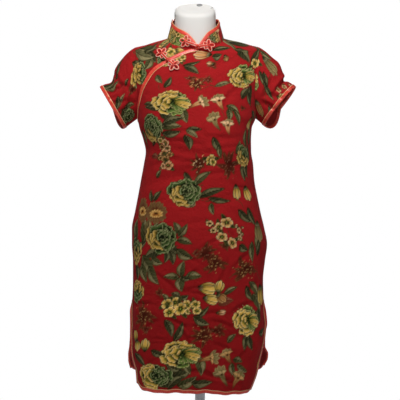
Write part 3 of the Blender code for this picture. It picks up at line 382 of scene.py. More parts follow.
SLIT_FLARE, SLIT_FLARE_WIDTH, SLIT_DRAWN, SLIT_DRAWN_WIDTH = 0.0042, 0.013, 0.0065, (0.018, 0.07)
SLIT_CLOSING_ROWS = 12
SEAM_SINK, SEAM_SINK_WIDTH = 0.0009, 0.0022
BACK_CORNER_RISE, BACK_CORNER_WIDTH = (0.011, 0.018), 0.06
# How much of the hem's dip is left at heights above it.
FRONT_DIP_LEFT = ((0, 0.008, 0.036, 0.064, 0.092), (1, 0.93, 0.6, 0.25, 0))
BACK_DIP_LEFT = ((0, 0.008, 0.037, 0.066), (1, 0.9, 0.3, 0))


def unit(vectors):
    length = norm(vectors, axis=-1, keepdims=True)
    return vectors / np.maximum(length, 1e-12)


class Panel:
    """The outer surface of the dress's front (side -1) or back (side +1)."""

    def __init__(self, side, skirt, folds):
        self.side, self.folds = side, folds
        deep = [ring.front if side < 0 else ring.back for ring in TORSO]
        drop = [ring.dip if side < 0 else -ring.lift for ring in TORSO]
        rows = [*skirt, *TORSO]
        self.heights = [row.height for row in rows]
        self.left, self.right = [row.left for row in rows], [row.right for row in rows]
        self.depth = [flap.depth for flap in skirt] + deep
        self.open = [flap.open for flap in skirt] + [0.0] * len(TORSO)
        self.drop = [0.0] * len(skirt) + drop
        self.power = [ROUNDNESS] * len(skirt) + [ring.power for ring in TORSO]

    def read(self, column, height):
        return smooth_through(self.heights, column, height)

    def plain(self, across, height):
        """The point at a share across the section (0 left side, 1 right side), no folds."""
        angle = pi * (1 - across)
        cosine, sine = np.cos(angle), np.clip(np.sin(angle), 0, 1)
        power = 2 / self.read(self.power, height)
        sideways = np.sign(cosine) * np.abs(cosine) ** power
        inwards = sine**power
        left, right = self.read(self.left, height), self.read(self.right, height)
        opened, depth = self.read(self.open, height), self.read(self.depth, height)
        x = (left + right) / 2 + (right - left) / 2 * sideways
        y = self.side * (opened + (depth - opened) * inwards)
        z = height - self.read(self.drop, height) * inwards
        return np.stack([x, y, z], -1)

    def normal(self, across, height):
        step, rise = 0.002, 0.001
        before, after = np.clip(across - step, 0, 1), np.clip(across + step, 0, 1)
        along = self.plain(after, height) - self.plain(before, height)
        low = np.maximum(height - rise, self.heights[0])
        high = np.minimum(height + rise, self.heights[-1])
        up = self.plain(across, high) - self.plain(across, low)
        return unit(np.cross(along, up) * -self.side)

    def folded(self, across, height):
        """Points and outward normals with the large folds added."""
        points, normals = self.plain(across, height), self.normal(across, height)
        fade = np.clip(np.minimum(across, 1 - across) / FOLD_FADE, 0, 1)
        stand = pressed(points, self.folds) * fade
        return points + normals * stand[..., None], normals

    def armhole_across(self, height, right):
        """The share across at which the armhole's edge cuts a section."""
        reach = ARMHOLE_FRONT if self.side < 0 else ARMHOLE_BACK
        from_middle = (height - ARMHOLE_MIDDLE) / ARMHOLE_HALF
        open_half = reach * sqrt(max(0, 1 - from_middle**2))
        sine = (open_half / self.read(self.depth, height)) ** (self.read(self.power, height) / 2)
        share = asin(sine) / pi
        return 1 - share if right else share

    def find(self, x, z):
        """The (across, height) of the point seen at x, z from the front or back."""
        height = z
        for _ in range(30):
            left, right = self.read(self.left, height), self.read(self.right, height)
            share = np.clip((x - (left + right) / 2) / ((right - left) / 2), -1, 1)
            power = self.read(self.power, height) / 2
            across = 1 - acos(np.sign(share) * abs(share) ** power) / pi
            inwards = sin(pi * across) ** (1 / power)
            height = min(z + self.read(self.drop, height) * inwards, NECK_SEAM)
        return across, height


def way_of(turn):
    """A turn in degrees as its cosine and sine."""
    return cos(radians(turn)), sin(radians(turn))


def along_and_off(points, fold):
    """Each point's distance along a fold from its middle, and off to its side."""
    cosine, sine = way_of(fold.turn)
    dx, dz = points[..., 0] - fold.x, points[..., 2] - fold.z
    return dx * cosine + dz * sine, -dx * sine + dz * cosine


def pressed(points, folds):
    """How far a list of folds makes the cloth stand out at each point."""
    stand = np.zeros(points.shape[:-1])
    for fold in folds:
        along, off = along_and_off(points, fold)
        stand += fold.depth * np.exp(-((along / fold.length) ** 2) - (off / fold.width) ** 2)
    return stand


# Fine creases, in millimetres and degrees. Each is a narrow trough with a low ridge along its
# upper side, and bow is how far its middle lies off a straight line.
Crease = namedtuple("Crease", "x z turn length width depth bow")
FRONT_CREASES = records(Crease, (
    (-30, 1118, 3, 60, 6, 1.9, 4), (40, 1112, -4, 50, 6, 1.6, -4), (-55, 1092, -5, 55, 7, 1.8, 5),
    (70, 1078, 10, 45, 6.5, 1.7, 4), (-8, 1052, 2, 60, 6.5, 1.7, -5), (-85, 1045, 18, 40, 7, 1.8, 3),
    (92, 1030, -14, 40, 7, 1.7, 4), (30, 1012, 6, 55, 7, 1.7, 4), (-50, 975, 12, 50, 8, 1.7, 4),
    (100, 985, -20, 35, 7, 1.5, -3), (-110, 930, 40, 45, 9, 1.5, 4), (105, 905, -34, 45, 9, 1.5, -4),
    (10, 890, 4, 70, 10, 1.2, 6), (-120, 800, 70, 60, 8.8, 2.2, 6), (120, 775, -66, 60, 8.8, 2.2, -6),
    (5, 727, 4, 45, 5.3, 2.9, 3), (-12, 714, -11, 30, 4.8, 2.6, 2), (-148, 684, 12, 20, 5.3, 4.2, 2),
    (-68, 690, -14, 40, 7, 2.1, -4), (104, 676, 30, 34, 6.2, 2.9, 4), (30, 664, 8, 28, 5.3, 2.2, 3),
    (-60, 640, -27, 28, 5.3, 3.2, 3), (58, 636, -20, 32, 5.3, 2.9, 3), (-122, 632, 36, 26, 6.2, 2.9, 3),
    (12, 622, -16, 34, 5.3, 3.5, 4), (-98, 598, -3, 20, 3.7, 1.8, 1), (-94, 588, 4, 22, 3.7, 1.5, 1),
    (-12, 600, -9, 24, 4.6, 2.2, 2), (-42, 606, -58, 26, 5.3, 3.2, 3), (112, 594, -40, 30, 6, 2.4, 3),
    (60, 574, -30, 30, 6, 2.6, 3), (18, 560, 12, 26, 5.1, 2, -3), (-70, 548, -8, 40, 6.4, 2.2, 4),
    (104, 545, 58, 30, 6.4, 2.5, 3), (-130, 520, 62, 30, 6.4, 2.5, 3), (-2, 515, -2, 28, 5.5, 3.2, 3),
    (50, 497, -17, 46, 6, 4.5, 4), (-18, 489, 12, 34, 5.5, 3, 3), (96, 500, 24, 28, 5.5, 2.5, 3),
    (120, 498, 74, 26, 6.4, 2.6, 3), (75, 1205, 58, 34, 8, 2.4, 4), (-100, 1190, -54, 34, 8, 2.2, 4),
    (110, 1255, 70, 30, 8, 2.2, -3), (50, 1290, 24, 40, 9, 1.8, 4), (100, 790, 48, 34, 6.2, 2.6, 3),
    (55, 760, 62, 30, 6, 2.2, -3), (-30, 800, -20, 36, 7, 2, 4), (25, 835, 30, 34, 7, 1.9, 4),
    (-90, 745, -38, 30, 6.2, 2.8, 3), (130, 720, 58, 28, 5.6, 3.2, 2), (-138, 860, 64, 34, 7, 2.2, 3),
    (75, 860, -50, 34, 7, 2, 3), (-20, 762, 40, 22, 5.2, 2.4, 2),
))
BACK_CREASES = records(Crease, (
    (0, 1095, 3, 70, 7, 2.2, 5), (-50, 1068, -6, 55, 7, 2.3, 4), (60, 1060, 8, 50, 7, 2.3, -4),
    (15, 1030, -3, 65, 7, 2.5, 5), (-70, 1005, 10, 45, 7, 2.2, 4), (80, 990, -12, 45, 7.5, 2.2, 4),
    (-10, 968, 5, 60, 8, 2.2, -5), (105, 925, -32, 45, 9, 1.9, 5), (-110, 915, 36, 45, 9, 1.9, 5),
    (45, 760, 80, 70, 10, 1.8, 6), (-60, 740, 98, 70, 10, 1.8, -6), (-20, 690, -10, 60, 9, 2.2, 5),
    (80, 655, 18, 55, 8.5, 2.3, 5), (-90, 640, -24, 50, 8.5, 2.3, 5), (10, 600, 12, 60, 8, 2.5, -6),
    (-50, 565, -18, 50, 8, 2.8, 6), (70, 550, 30, 45, 8, 2.5, 5), (0, 530, -6, 55, 7, 2.3, 4),
    (-100, 1215, -50, 40, 8.5, 2.2, 4), (95, 1225, 52, 40, 8.5, 2.2, 4), (20, 1330, 2, 60, 8, 1.7, 4),
    (-40, 1280, 84, 50, 10, 1.2, 4),
))


def creased(points, creases):
    """How far a list of creases moves the cloth in or out at each point."""
    stand = np.zeros(points.shape[:-1])
    for crease in creases:
        along, off = along_and_off(points, crease)
        along = along / crease.length
        off = (off - crease.bow * (1 - along * along)) / crease.width
        fade = np.exp(-(along**2) ** 1.5)
        trough = -np.exp(-(off**2)) + 0.55 * np.exp(-(((off - 1.55) / 1.1) ** 2))
        stand += crease.depth * trough * fade
    return stand


def armhole_heights():
    steps = np.arange(ARMHOLE_STEPS + 1) * pi / ARMHOLE_STEPS
    return [float(height) for height in ARMHOLE_MIDDLE - ARMHOLE_HALF * np.cos(steps)]


def side_edge(panel, right):
    """(across, height) up a panel's armhole and shoulder seam, one pair for each upper row."""
    edge = [(panel.armhole_across(height, right), height) for height in armhole_heights()]
    for step in range(1, SHOULDER_STEPS + 1):
        height = SHOULDER_TIP + (NECK_SEAM - SHOULDER_TIP) * step / SHOULDER_STEPS
        edge.append((1.0 if right else 0.0, height))
    return edge


def rows_between(panel, left, right, columns):
    """A grid of (across, height) from rows of end points, evenly spaced on the cloth."""
    share = np.linspace(0, 1, ROW_SAMPLES + 1)
    grid = []
    for (left_across, left_height), (right_across, right_height) in zip(left, right):
        across = left_across + (right_across - left_across) * share
        height = left_height + (right_height - left_height) * share
        points = panel.plain(across, height)
        length = lengths_along(points)
        at = np.interp(np.linspace(0, length[-1], columns + 1), length, share)
        across = left_across + (right_across - left_across) * at
        height = left_height + (right_height - left_height) * at
        grid.append(np.stack([across, height], -1))
    return np.array(grid)


def lengths_along(points):
    """The distance along a row of points, from its first one."""
    steps = norm(np.diff(points, axis=0), axis=1)
    return np.concatenate([[0], np.cumsum(steps)])


def grid_normals(grid, closed=False):
    """Unit normals of a grid of points, with the first one's side kept for all."""
    if closed:
        along = np.roll(grid, -1, axis=1) - np.roll(grid, 1, axis=1)
    else:
        along = np.gradient(grid, axis=1)
    return unit(np.cross(along, np.gradient(grid, axis=0)))


def facing(normals, outwards):
    """The normals, turned over if most of them point inwards."""
    return -normals if np.median(np.sum(normals * outwards, axis=-1)) < 0 else normals


class Cloth:
    """A laid out piece: points, outward normals, and its threads' distances s and t."""

    def __init__(self, points, normals, s, t, creases=(), shown=1.0, closed=False):
        self.points = points + normals * (creased(points, creases) * shown)[..., None]
        found = grid_normals(self.points, closed)
        self.normals = found * np.sign(np.sum(found * normals, axis=-1, keepdims=True) + 1e-9)
        self.s, self.t, self.closed = s, t, closed


def across_lengths(panel, across, height):
    """Distance along the section from the panel's middle to each point of a grid."""
    share = np.linspace(0, 1, THREAD_SAMPLES + 1)
    levels = np.linspace(panel.heights[0], panel.heights[-1], THREAD_LEVELS)
    table = np.array([lengths_along(panel.plain(share, np.full_like(share, z))) for z in levels])
    table -= table[:, THREAD_SAMPLES // 2, None]
    row = (height - levels[0]) / (levels[1] - levels[0])
    low = np.clip(row.astype(int), 0, len(levels) - 2)
    part = row - low
    column = np.clip(across, 0, 1) * THREAD_SAMPLES
    left = np.clip(column.astype(int), 0, THREAD_SAMPLES - 1)
    step = column - left
    near = table[low, left] * (1 - step) + table[low, left + 1] * step
    far = table[low + 1, left] * (1 - step) + table[low + 1, left + 1] * step
    return near * (1 - part) + far * part


front = Panel(-1, FRONT_SKIRT, FRONT_FOLDS)
back = Panel(1, BACK_SKIRT, BACK_FOLDS)

# The lapel's edge seen from the front, from the armhole to the centre front neck.
LAPEL = (
    (-0.1519, 1.2303), (-0.1399, 1.2551), (-0.1184, 1.2849), (-0.0908, 1.3029), (-0.0613, 1.3186),
    (-0.0381, 1.3297), (-0.02, 1.3345),
)
NECK_OPENING_X = -0.005
start = side_edge(front, right=False)[LAPEL_LEAVES]
x, _, z = front.plain(np.array(start[0]), np.array(start[1]))
end_across, _ = front.find(NECK_OPENING_X, NECK_SEAM - TORSO[-1].dip)
end = front.plain(np.array(end_across), np.array(NECK_SEAM))
seen = np.array([(x, z), *LAPEL, (end[0], end[2])])
length = lengths_along(seen)
wanted = np.linspace(0, length[-1], ARMHOLE_STEPS - LAPEL_LEAVES + SHOULDER_STEPS + 1)
xs, zs = (smooth_through(length, seen[:, k], wanted) for k in (0, 1))
middle = [front.find(x, z) for x, z in zip(xs[1:-1], zs[1:-1])]
lapel_edge = [start, *middle, (end_across, NECK_SEAM)]


def lower_rows(hem):
    """Heights of the rows below the underarm. One lies at the top of the slits."""
    low = np.linspace(hem, SLIT_TOP, round((SLIT_TOP - hem) / ROW_STEP) + 1)
    high = np.linspace(SLIT_TOP, UNDERARM, round((UNDERARM - SLIT_TOP) / ROW_STEP) + 1)
    return [*low, *high[1:-1]], len(low)


def from_side(points):
    """How far each point is from the nearer side seam."""
    from_left = np.array([lengths_along(row) for row in points])
    return np.minimum(from_left, from_left[:, -1:] - from_left)


def smooth_step(value, low, high):
    share = np.clip((value - low) / (high - low), 0, 1)
    return share * share * (3 - 2 * share)


def slit_flare(points, normals, edge, slit_row, amount, drawn):
    """Lets the bound edges of the slits turn out, and draws in the cloth beside them."""
    flare = np.zeros(points.shape[:-1])
    near_top = smooth_step(np.arange(slit_row)[:, None], slit_row - SLIT_CLOSING_ROWS, slit_row)
    low = edge[:slit_row]
    flare[:slit_row] = amount * np.clip(1 - low / SLIT_FLARE_WIDTH, 0, 1) ** 2
    flare[:slit_row] -= drawn * (1 - smooth_step(low, *SLIT_DRAWN_WIDTH))
    flare[:slit_row] *= 1 - near_top
    return points + normals * flare[..., None]


def seam_groove(points, normals, edge, rows):
    """Sinks the edge a little where a seam draws the cloth in."""
    sink = np.zeros(points.shape[:-1])
    sink[rows] = SEAM_SINK * np.exp(-((edge[rows] / SEAM_SINK_WIDTH) ** 2))
    return points - normals * sink[..., None]


def lay_out(panel, left_edge, dip, dip_left, flare, drawn, creases):
    """A panel's cloth, the chart of its points, and its rows at the slits' top and the underarm."""
    hem = panel.heights[0]
    heights, slit_row = lower_rows(hem)
    left = [(0.0, z) for z in heights] + left_edge
    right = [(1.0, z) for z in heights] + side_edge(panel, True)
    plan = rows_between(panel, left, right, PANEL_COLUMNS)
    across, height = plan[..., 0], plan[..., 1]
    points, normals = panel.folded(across, height)
    risen = np.clip(height - hem, 0, dip_left[0][-1] - 0.0001)
    points[..., 2] -= dip * smooth_through(*dip_left, risen)
    edge = from_side(points)
    points = slit_flare(points, normals, edge, slit_row, flare, drawn)
    points = seam_groove(points, normals, edge, slice(slit_row, len(heights)))
    s = -panel.side * across_lengths(panel, across, height)
    cloth = Cloth(points, normals, s, height, creases, np.clip(edge / SIDE_FADE, 0, 1))
    return cloth, plan, slit_row, len(heights)


share = np.linspace(0, 1, PANEL_COLUMNS + 1)
dip = HEM_DIP * np.exp(-(((share - HEM_DIP_AT) / HEM_DIP_WIDTH) ** 2))
dip -= FRONT_CORNER_RISE * np.exp(-((share / FRONT_CORNER_WIDTH) ** 2))
dip += HEM_RIPPLE * (np.sin(share * 29) + 0.6 * np.sin(share * 61 + 1))
left_edge = side_edge(front, False)[:LAPEL_LEAVES] + lapel_edge
front_cloth, front_plan, front_slit, front_first = lay_out(
    front, left_edge, dip, FRONT_DIP_LEFT, SLIT_FLARE, SLIT_DRAWN, FRONT_CREASES
)
rise = BACK_CORNER_RISE[0] * np.exp(-((share / BACK_CORNER_WIDTH) ** 2))
rise += BACK_CORNER_RISE[1] * np.exp(-(((1 - share) / BACK_CORNER_WIDTH) ** 2))
back_cloth, _, back_slit, _ = lay_out(
    back, side_edge(back, False), -rise, BACK_DIP_LEFT, SLIT_FLARE * 0.6, SLIT_DRAWN * 0.3, BACK_CREASES
)

# ------------------------------------------------------------------ the print
# Screen printed peonies, leaves, buds and small blossoms on a red ground, laid out on a chart
# of 2.6 mm squares and repeated every 252 squares up the cloth. Inks lie one over another.
SQUARE, SQUARE_MM = 0.0026, 2.6
CHART_MIDDLE = 200
EYE_AWAY, EYE_HEIGHT = 3, 0.95  # the chart is laid on the dress as seen from there
# The part of the chart that repeats on the unseen sides, and how far the cloth is moved over.
REPEAT_TOP, REPEAT, REPEAT_LEFT, REPEAT_RIGHT = 100, 252, 128, 262
REPEAT_MIDDLE, REPEAT_ASIDE, REPEAT_STRETCH = 196, 150, 1.08
GROUND = "#a41d1f"
OUTLINE, SOFT = 1.9, 1.9  # millimetres
VEIN_HALF = 0.9
INKS = {  # outline, deep, body and rim inks
    "gold": ("#1b1c04", "#6c641f", "#d4ab50", "#fadb94"),
    "leafy": ("#101504", "#263a10", "#617a36", "#cdc67c"),
    "green": ("#0a0f02", "#1a260a", "#455a2c", "#aeb078"),
    "mixed": ("#121302", "#4a4414", "#c29a46", "#eeca7c"),
    "cream": ("#20210d", "#7d5c2c", "#d2a25c", "#f4d49c"),
    "peach": ("#5a2c16", "#8a4c2a", "#c98f58", "#f0c795"),
    "brown": ("#4a2012", "#6d3a1e", "#a0703e", "#cfa264"),
    "olive": ("#41291a", "#54482a", "#857546", "#bca06c"),
    "dark": ("#181504", "#1f210d", "#48492e", "#94885f"),
    "shadow": ("#150f03", "#161a06", "#2b3010", "#5d5a30"),
    "mid": ("#211c06", "#2d3114", "#605e3a", "#aa9a6e"),
    "pale": ("#3b3119", "#4c4a2c", "#7d7650", "#ab9c70"),
    "rust": ("#5e1a12", "#5f2a1a", "#7b4530", "#936046"),
    "lace": ("#5a140e", "#3c1509", "#552616", "#7c4628"),
    "flame": ("#7a3212", "#a05a22", "#d69a4a", "#efc878"),
}
# Centre across and down the chart, turn of the tip in degrees, length, width, inks.
LEAVES = (
    (107.5, 88, -30, 13, 6, "pale"), (113.5, 85.5, 20, 13, 6, "mid"), (120, 64, 70, 11, 4, "dark"),
    (149, 48, 8, 17, 5, "mid"), (153.5, 56, -62, 13, 7, "dark"), (147.5, 63, -115, 15, 8, "mid"),
    (143, 60, 20, 12, 5, "dark"), (168, 117.5, -25, 17, 9, "dark"), (171, 127, 2, 19, 6.5, "mid"),
    (151, 108.5, 168, 15, 5, "dark"), (145, 138, -78, 15, 6, "mid"), (248.5, 135, 86, 17, 6.5, "mid"),
    (248, 152, 92, 16, 5, "dark"), (238, 147, 62, 13, 5, "mid"), (244, 172, -82, 16, 6.5, "dark"),
    (266, 54.5, -40, 13, 6, "mid"), (263.5, 80, -82, 15, 5, "dark"), (240, 44, -12, 19, 4.5, "dark"),
    (250.5, 94, -85, 18, 5, "dark"), (142.5, 229, 82, 26, 8, "mid"), (137, 272, -80, 15, 7, "dark"),
    (156.5, 260.5, -22, 13, 7, "mid"), (173.5, 248, -38, 15, 8, "dark"), (258.5, 240, 84, 21, 7, "mid"),
    (253.5, 289, -50, 17, 7, "mid"), (256.5, 303, -60, 19, 9, "mid"), (259, 316, -82, 12, 8, "dark"),
    (199, 366.5, -78, 17, 9, "mid"), (175, 367.5, -20, 17, 7, "dark"), (187, 381.5, 30, 18, 9, "mid"),
    (168, 385.5, 4, 16, 6, "dark"), (143.5, 54.5, -8, 21, 8, "pale"), (152, 48, 60, 10, 5.5, "dark"),
    (137, 64, 0, 10, 5, "dark"), (159.6, 79, -60, 10, 6, "mid"), (167.5, 82, 62, 13, 5.5, "dark"),
    (191.5, 63.5, 18, 15, 3.5, "dark"), (191.5, 70, -32, 15, 7, "dark"), (221.7, 49.2, 2, 17, 3.8, "dark"),
    (243.3, 56, -40, 19, 7.5, "dark"), (255.5, 54, 50, 15, 7.5, "dark"), (223.3, 84.2, 18, 15, 4.5, "pale"),
    (245.6, 93, 55, 14, 7, "dark"), (249.5, 99, -72, 14, 4.5, "dark"), (148.3, 104.6, 175, 10, 4.5, "dark"),
    (186, 115.5, -75, 13, 7, "mid"), (233.3, 109.5, -32, 14, 6, "mid"), (228.8, 115, -85, 11, 6, "mid"),
    (237.5, 117.5, -60, 15, 4.5, "mid"), (172.5, 121, 16, 19, 7, "dark"), (171, 132.5, 6, 17, 6.5, "dark"),
    (156.5, 137, 48, 20, 5, "dark"), (194, 130, 4, 13, 4.5, "dark"), (192, 134, -35, 11, 5, "pale"),
    (187.5, 142.5, -78, 13, 8, "dark"), (159, 174, 60, 8, 4, "mid"), (155, 157, -15, 9, 5, "rust"),
    (218, 145, -64, 15, 7, "dark"), (220.3, 152, -82, 11, 4.5, "mid"), (245.4, 137.5, 80, 16, 5.5, "mid"),
    (246, 169, -80, 16, 5.5, "dark"), (202.5, 178.3, 38, 18, 6.5, "mid"), (189, 178, -48, 13, 5, "dark"),
    (212, 193, 18, 24, 6.5, "dark"), (219.5, 199.5, -6, 20, 5, "dark"), (212.5, 209, -80, 10, 5, "mid"),
    (151.5, 196, 100, 10, 4.5, "dark"), (157.5, 196, 50, 11, 5, "dark"), (176, 228, 110, 11, 6.5, "mid"),
    (182.5, 230, 50, 14, 5.5, "mid"), (184.5, 242, -14, 13, 6.5, "mid"), (185, 254, -28, 16, 8.5, "mid"),
    (171, 257.5, -72, 13, 7, "dark"), (166, 256.5, -100, 11, 6, "dark"),
    (152.8, 254.8, 200, 17, 8.5, "dark"), (147, 226, 70, 18, 7, "olive"), (136.5, 230, 80, 20, 9, "mid"),
    (141, 244, 20, 14, 6, "dark"), (245.5, 216, -38, 18, 6.5, "dark"), (252, 216.5, -60, 18, 6, "dark"),
    (244, 247.5, -30, 9, 7, "dark"), (252.5, 252, -85, 18, 6, "mid"), (259, 248, 75, 14, 5, "dark"),
    (149.5, 264.5, -46, 22, 11, "mid"), (153.5, 275.5, -54, 19, 8.5, "mid"),
    (144.5, 273, -68, 17, 8, "mid"), (182.5, 269, 82, 14, 7.5, "mid"), (171, 277.5, 178, 14, 6, "mid"),
    (193.5, 277, 3, 14, 7.5, "mid"), (181.5, 284.5, -88, 13, 8.5, "mid"), (186, 278, -8, 8, 4.5, "dark"),
    (175.5, 296, 150, 9, 6, "dark"), (184, 297, 20, 8, 5, "dark"), (165, 298, 130, 9, 4.5, "mid"),
    (230.8, 290.8, 28, 14, 4.5, "mid"), (226, 302.5, 14, 14, 8, "rust"), (202.5, 312, 42, 15, 4.5, "dark"),
    (201.5, 320.5, -28, 15, 7.5, "dark"), (249, 293.5, -62, 15, 6.5, "dark"),
    (168.6, 328.5, -68, 16, 7.5, "dark"), (178.5, 331.5, 66, 18, 6.5, "dark"),
    (231.7, 338.5, 45, 10, 5, "mid"), (246, 342.5, -98, 14, 5.5, "dark"),
    (250.8, 343, -68, 14, 5.5, "dark"), (158, 353, -14, 14, 6, "dark"), (139, 360, -35, 18, 6.5, "dark"),
    (182, 373, 20, 18, 7.5, "dark"), (176, 382, 40, 17, 7.5, "dark"), (202, 382.5, 2, 18, 7.5, "dark"),
    (237.5, 361, -15, 9, 5.5, "mid"), (233, 369.5, -80, 11, 5.5, "mid"),
    (242.5, 368.5, -35, 12, 5.5, "mid"), (262, 331, 20, 12, 7, "dark"), (262, 290, 60, 12, 5, "dark"),
    (188.5, 368, -75, 12, 7, "mid"), (110, 85, 24, 19, 9, "dark"), (117, 71, 80, 12, 5, "dark"),
    (126.8, 82, 60, 5, 4, "dark"), (121.4, 101, 62, 11, 5, "pale"), (117, 104, -70, 11, 6, "dark"),
    (128.6, 106.5, 16, 13, 4.5, "mid"), (124, 117, -40, 15, 8, "dark"), (265, 81.5, -112, 14, 6, "dark"),
    (268.6, 90.5, -68, 15, 5.5, "dark"), (253, 116, -60, 11, 6, "dark"), (270.5, 110.5, 65, 8, 3.5, "dark"),
    (273.5, 118, 60, 9, 5, "dark"), (217, 55.5, 10, 8, 7, "dark"), (224.5, 41, 88, 12, 4, "pale"),
    (168, 43, 60, 9, 4, "pale"),
)
# Centre, width, height, which way the lit petals face, their inks, the others' and the way
# it is drawn.
FLOWERS = (
    (151.5, 128, 26, 28, 250, "mixed", "green", "cupped"),
    (139.5, 73, 17, 26, 190, "mixed", "green", "full"),
    (170.5, 102.5, 41, 28, 165, "gold", "leafy", "swept"),
    (242.5, 76.5, 32, 27, 200, "gold", "leafy", "swept"), (188, 203, 15, 9, 270, "pale", "pale", "full"),
    (184, 192.3, 34, 27, 230, "mixed", "green", "cupped"),
    (160.8, 238, 33, 31, 205, "mixed", "green", "cupped"),
    (136.5, 251, 17, 28, 270, "mixed", "green", "full"),
    (243.5, 156, 19, 22, 240, "mixed", "green", "full"),
    (137.5, 291, 19, 23, 100, "mixed", "green", "full"),
    (246.8, 321, 30, 30, 190, "gold", "leafy", "swept"),
    (180, 354.5, 41, 28, 165, "gold", "leafy", "swept"),
    (154, 376.5, 37, 25, 190, "gold", "green", "cupped"), (214.5, 37, 12, 12, 20, "mixed", "green", "full"),
    (173, 37.5, 10, 11, 10, "mixed", "leafy", "full"), (170, 53, 13, 12, 40, "mixed", "leafy", "full"),
    (164, 61, 14, 12, 0, "mixed", "green", "full"), (128, 117, 19, 13, 20, "green", "green", "full"),
)
# Faint outer petals round a bright heart: centre, width and height.
HALOED = ((156, 212.5, 20, 19), (142.5, 210, 13, 21))
# Centre, turn, length, width, inks of the buds and of the long-throated trumpets.
BUDS = (
    (202.5, 54.5, 178, 17, 7, "peach"), (210.5, 63.5, 170, 7, 2.5, "peach"),
    (270, 65.5, -56, 21, 7.5, "olive"), (259.5, 108.5, -95, 13, 7.5, "brown"),
    (249, 123.5, -98, 12, 4.5, "gold"), (236.7, 192, -82, 14, 6.5, "gold"),
    (247, 193.5, -68, 15, 7.5, "gold"), (258.5, 231.5, -88, 20, 9, "olive"),
    (207.5, 288.5, -6, 18, 10, "gold"), (219.5, 287, 75, 12, 8, "gold"), (211, 299.5, -12, 15, 8, "gold"),
    (221.5, 298, -38, 11, 8, "brown"), (221, 312.5, 8, 9, 3, "peach"), (260.5, 295, -82, 20, 10, "mixed"),
    (135.5, 336, 110, 12, 8, "mixed"), (137, 345.5, -80, 11, 9, "gold"), (145.3, 345, 90, 12, 9.5, "gold"),
    (259, 362.5, -112, 15, 4.5, "gold"), (180, 50.5, 10, 9, 6, "gold"), (226, 58, -60, 6, 4, "brown"),
)
TRUMPETS = (
    (198.5, 103.5, 29, 20, 11, "peach"), (220, 102, 112, 18, 14, "peach"),
    (215.5, 121.5, 118, 19, 12, "olive"), (228.3, 127, 92, 15, 13, "peach"),
    (208.5, 359, 14, 21, 10, "brown"), (228, 356.5, 118, 15, 12, "brown"),
    (223, 376.5, 122, 20, 12, "olive"), (237.5, 380, 66, 17, 13, "brown"),
)
# Centre, radius, inks.
BLOSSOMS = (
    (178, 34.5, 3, "gold"), (171, 52, 4.5, "gold"), (179.8, 59.5, 3.5, "gold"), (182.5, 57.5, 3, "gold"),
    (255, 63.3, 4.8, "gold"), (278.6, 90, 2.8, "peach"), (284.2, 87, 2.4, "peach"),
    (290.5, 85.5, 2.2, "peach"), (281.6, 98, 4, "gold"), (160.5, 140.5, 3, "gold"),
    (165.5, 142.5, 3.6, "peach"), (162, 147, 2.8, "brown"), (167.5, 148.5, 3.4, "peach"),
    (163.5, 153, 4.2, "peach"), (169.5, 154.5, 2.8, "brown"), (165.5, 159.5, 3.8, "brown"),
    (160.5, 158, 2.4, "brown"), (168, 165.5, 4.8, "peach"), (163, 166, 2.8, "peach"),
    (210.8, 160, 5, "gold"), (213, 162, 3.5, "gold"), (209.5, 223.5, 3, "cream"),
    (218.6, 227, 4.4, "cream"), (226.7, 222.5, 5.6, "cream"), (213.2, 230.5, 2.8, "cream"),
    (222, 237, 4.9, "cream"), (232.5, 243, 4.8, "cream"), (239, 230.5, 2.4, "cream"),
    (240, 238, 2.2, "cream"), (236.5, 226, 1.3, "cream"), (242, 234.5, 1.3, "cream"),
    (242.5, 227.5, 1, "cream"), (175, 302.5, 5, "gold"), (167.3, 304, 5.5, "gold"),
    (187.3, 305, 4.4, "gold"), (195.6, 304.5, 4.2, "gold"), (180.5, 309, 6, "gold"),
    (169.3, 312.3, 5.4, "gold"), (196.7, 311, 3.8, "gold"), (187.5, 311.5, 2.6, "gold"),
)
# Centre, width, height, inks, how strong, and how many specks.
BERRIES = (
    (199, 164, 14, 15, "peach", 1, 34), (195.5, 83.5, 15, 13, "brown", 0.8, 52),
    (191.5, 78.5, 12, 5, "rust", 0.75, 26), (207, 79.5, 10, 7, "rust", 0.8, 36),
    (212, 65.5, 9, 6, "rust", 0.7, 24), (229, 166, 18, 24, "rust", 0.8, 60),
    (205, 253, 18, 17, "rust", 0.85, 40), (215.5, 262.5, 18, 18, "brown", 0.7, 56),
    (196, 253.5, 7, 6, "rust", 0.7, 16), (245.5, 269, 24, 20, "brown", 0.6, 80),
    (144.5, 316, 22, 22, "brown", 0.6, 66), (146, 330, 10, 8, "rust", 0.6, 24),
    (204, 334.5, 20, 19, "brown", 0.6, 66), (217, 330.5, 16, 10, "rust", 0.8, 30),
    (159, 293, 8, 8, "rust", 0.45, 14), (225, 246, 10, 8, "rust", 0.45, 16),
    (243, 108, 6, 5, "rust", 0.5, 10), (132, 90, 10, 8, "rust", 0.5, 16),
)
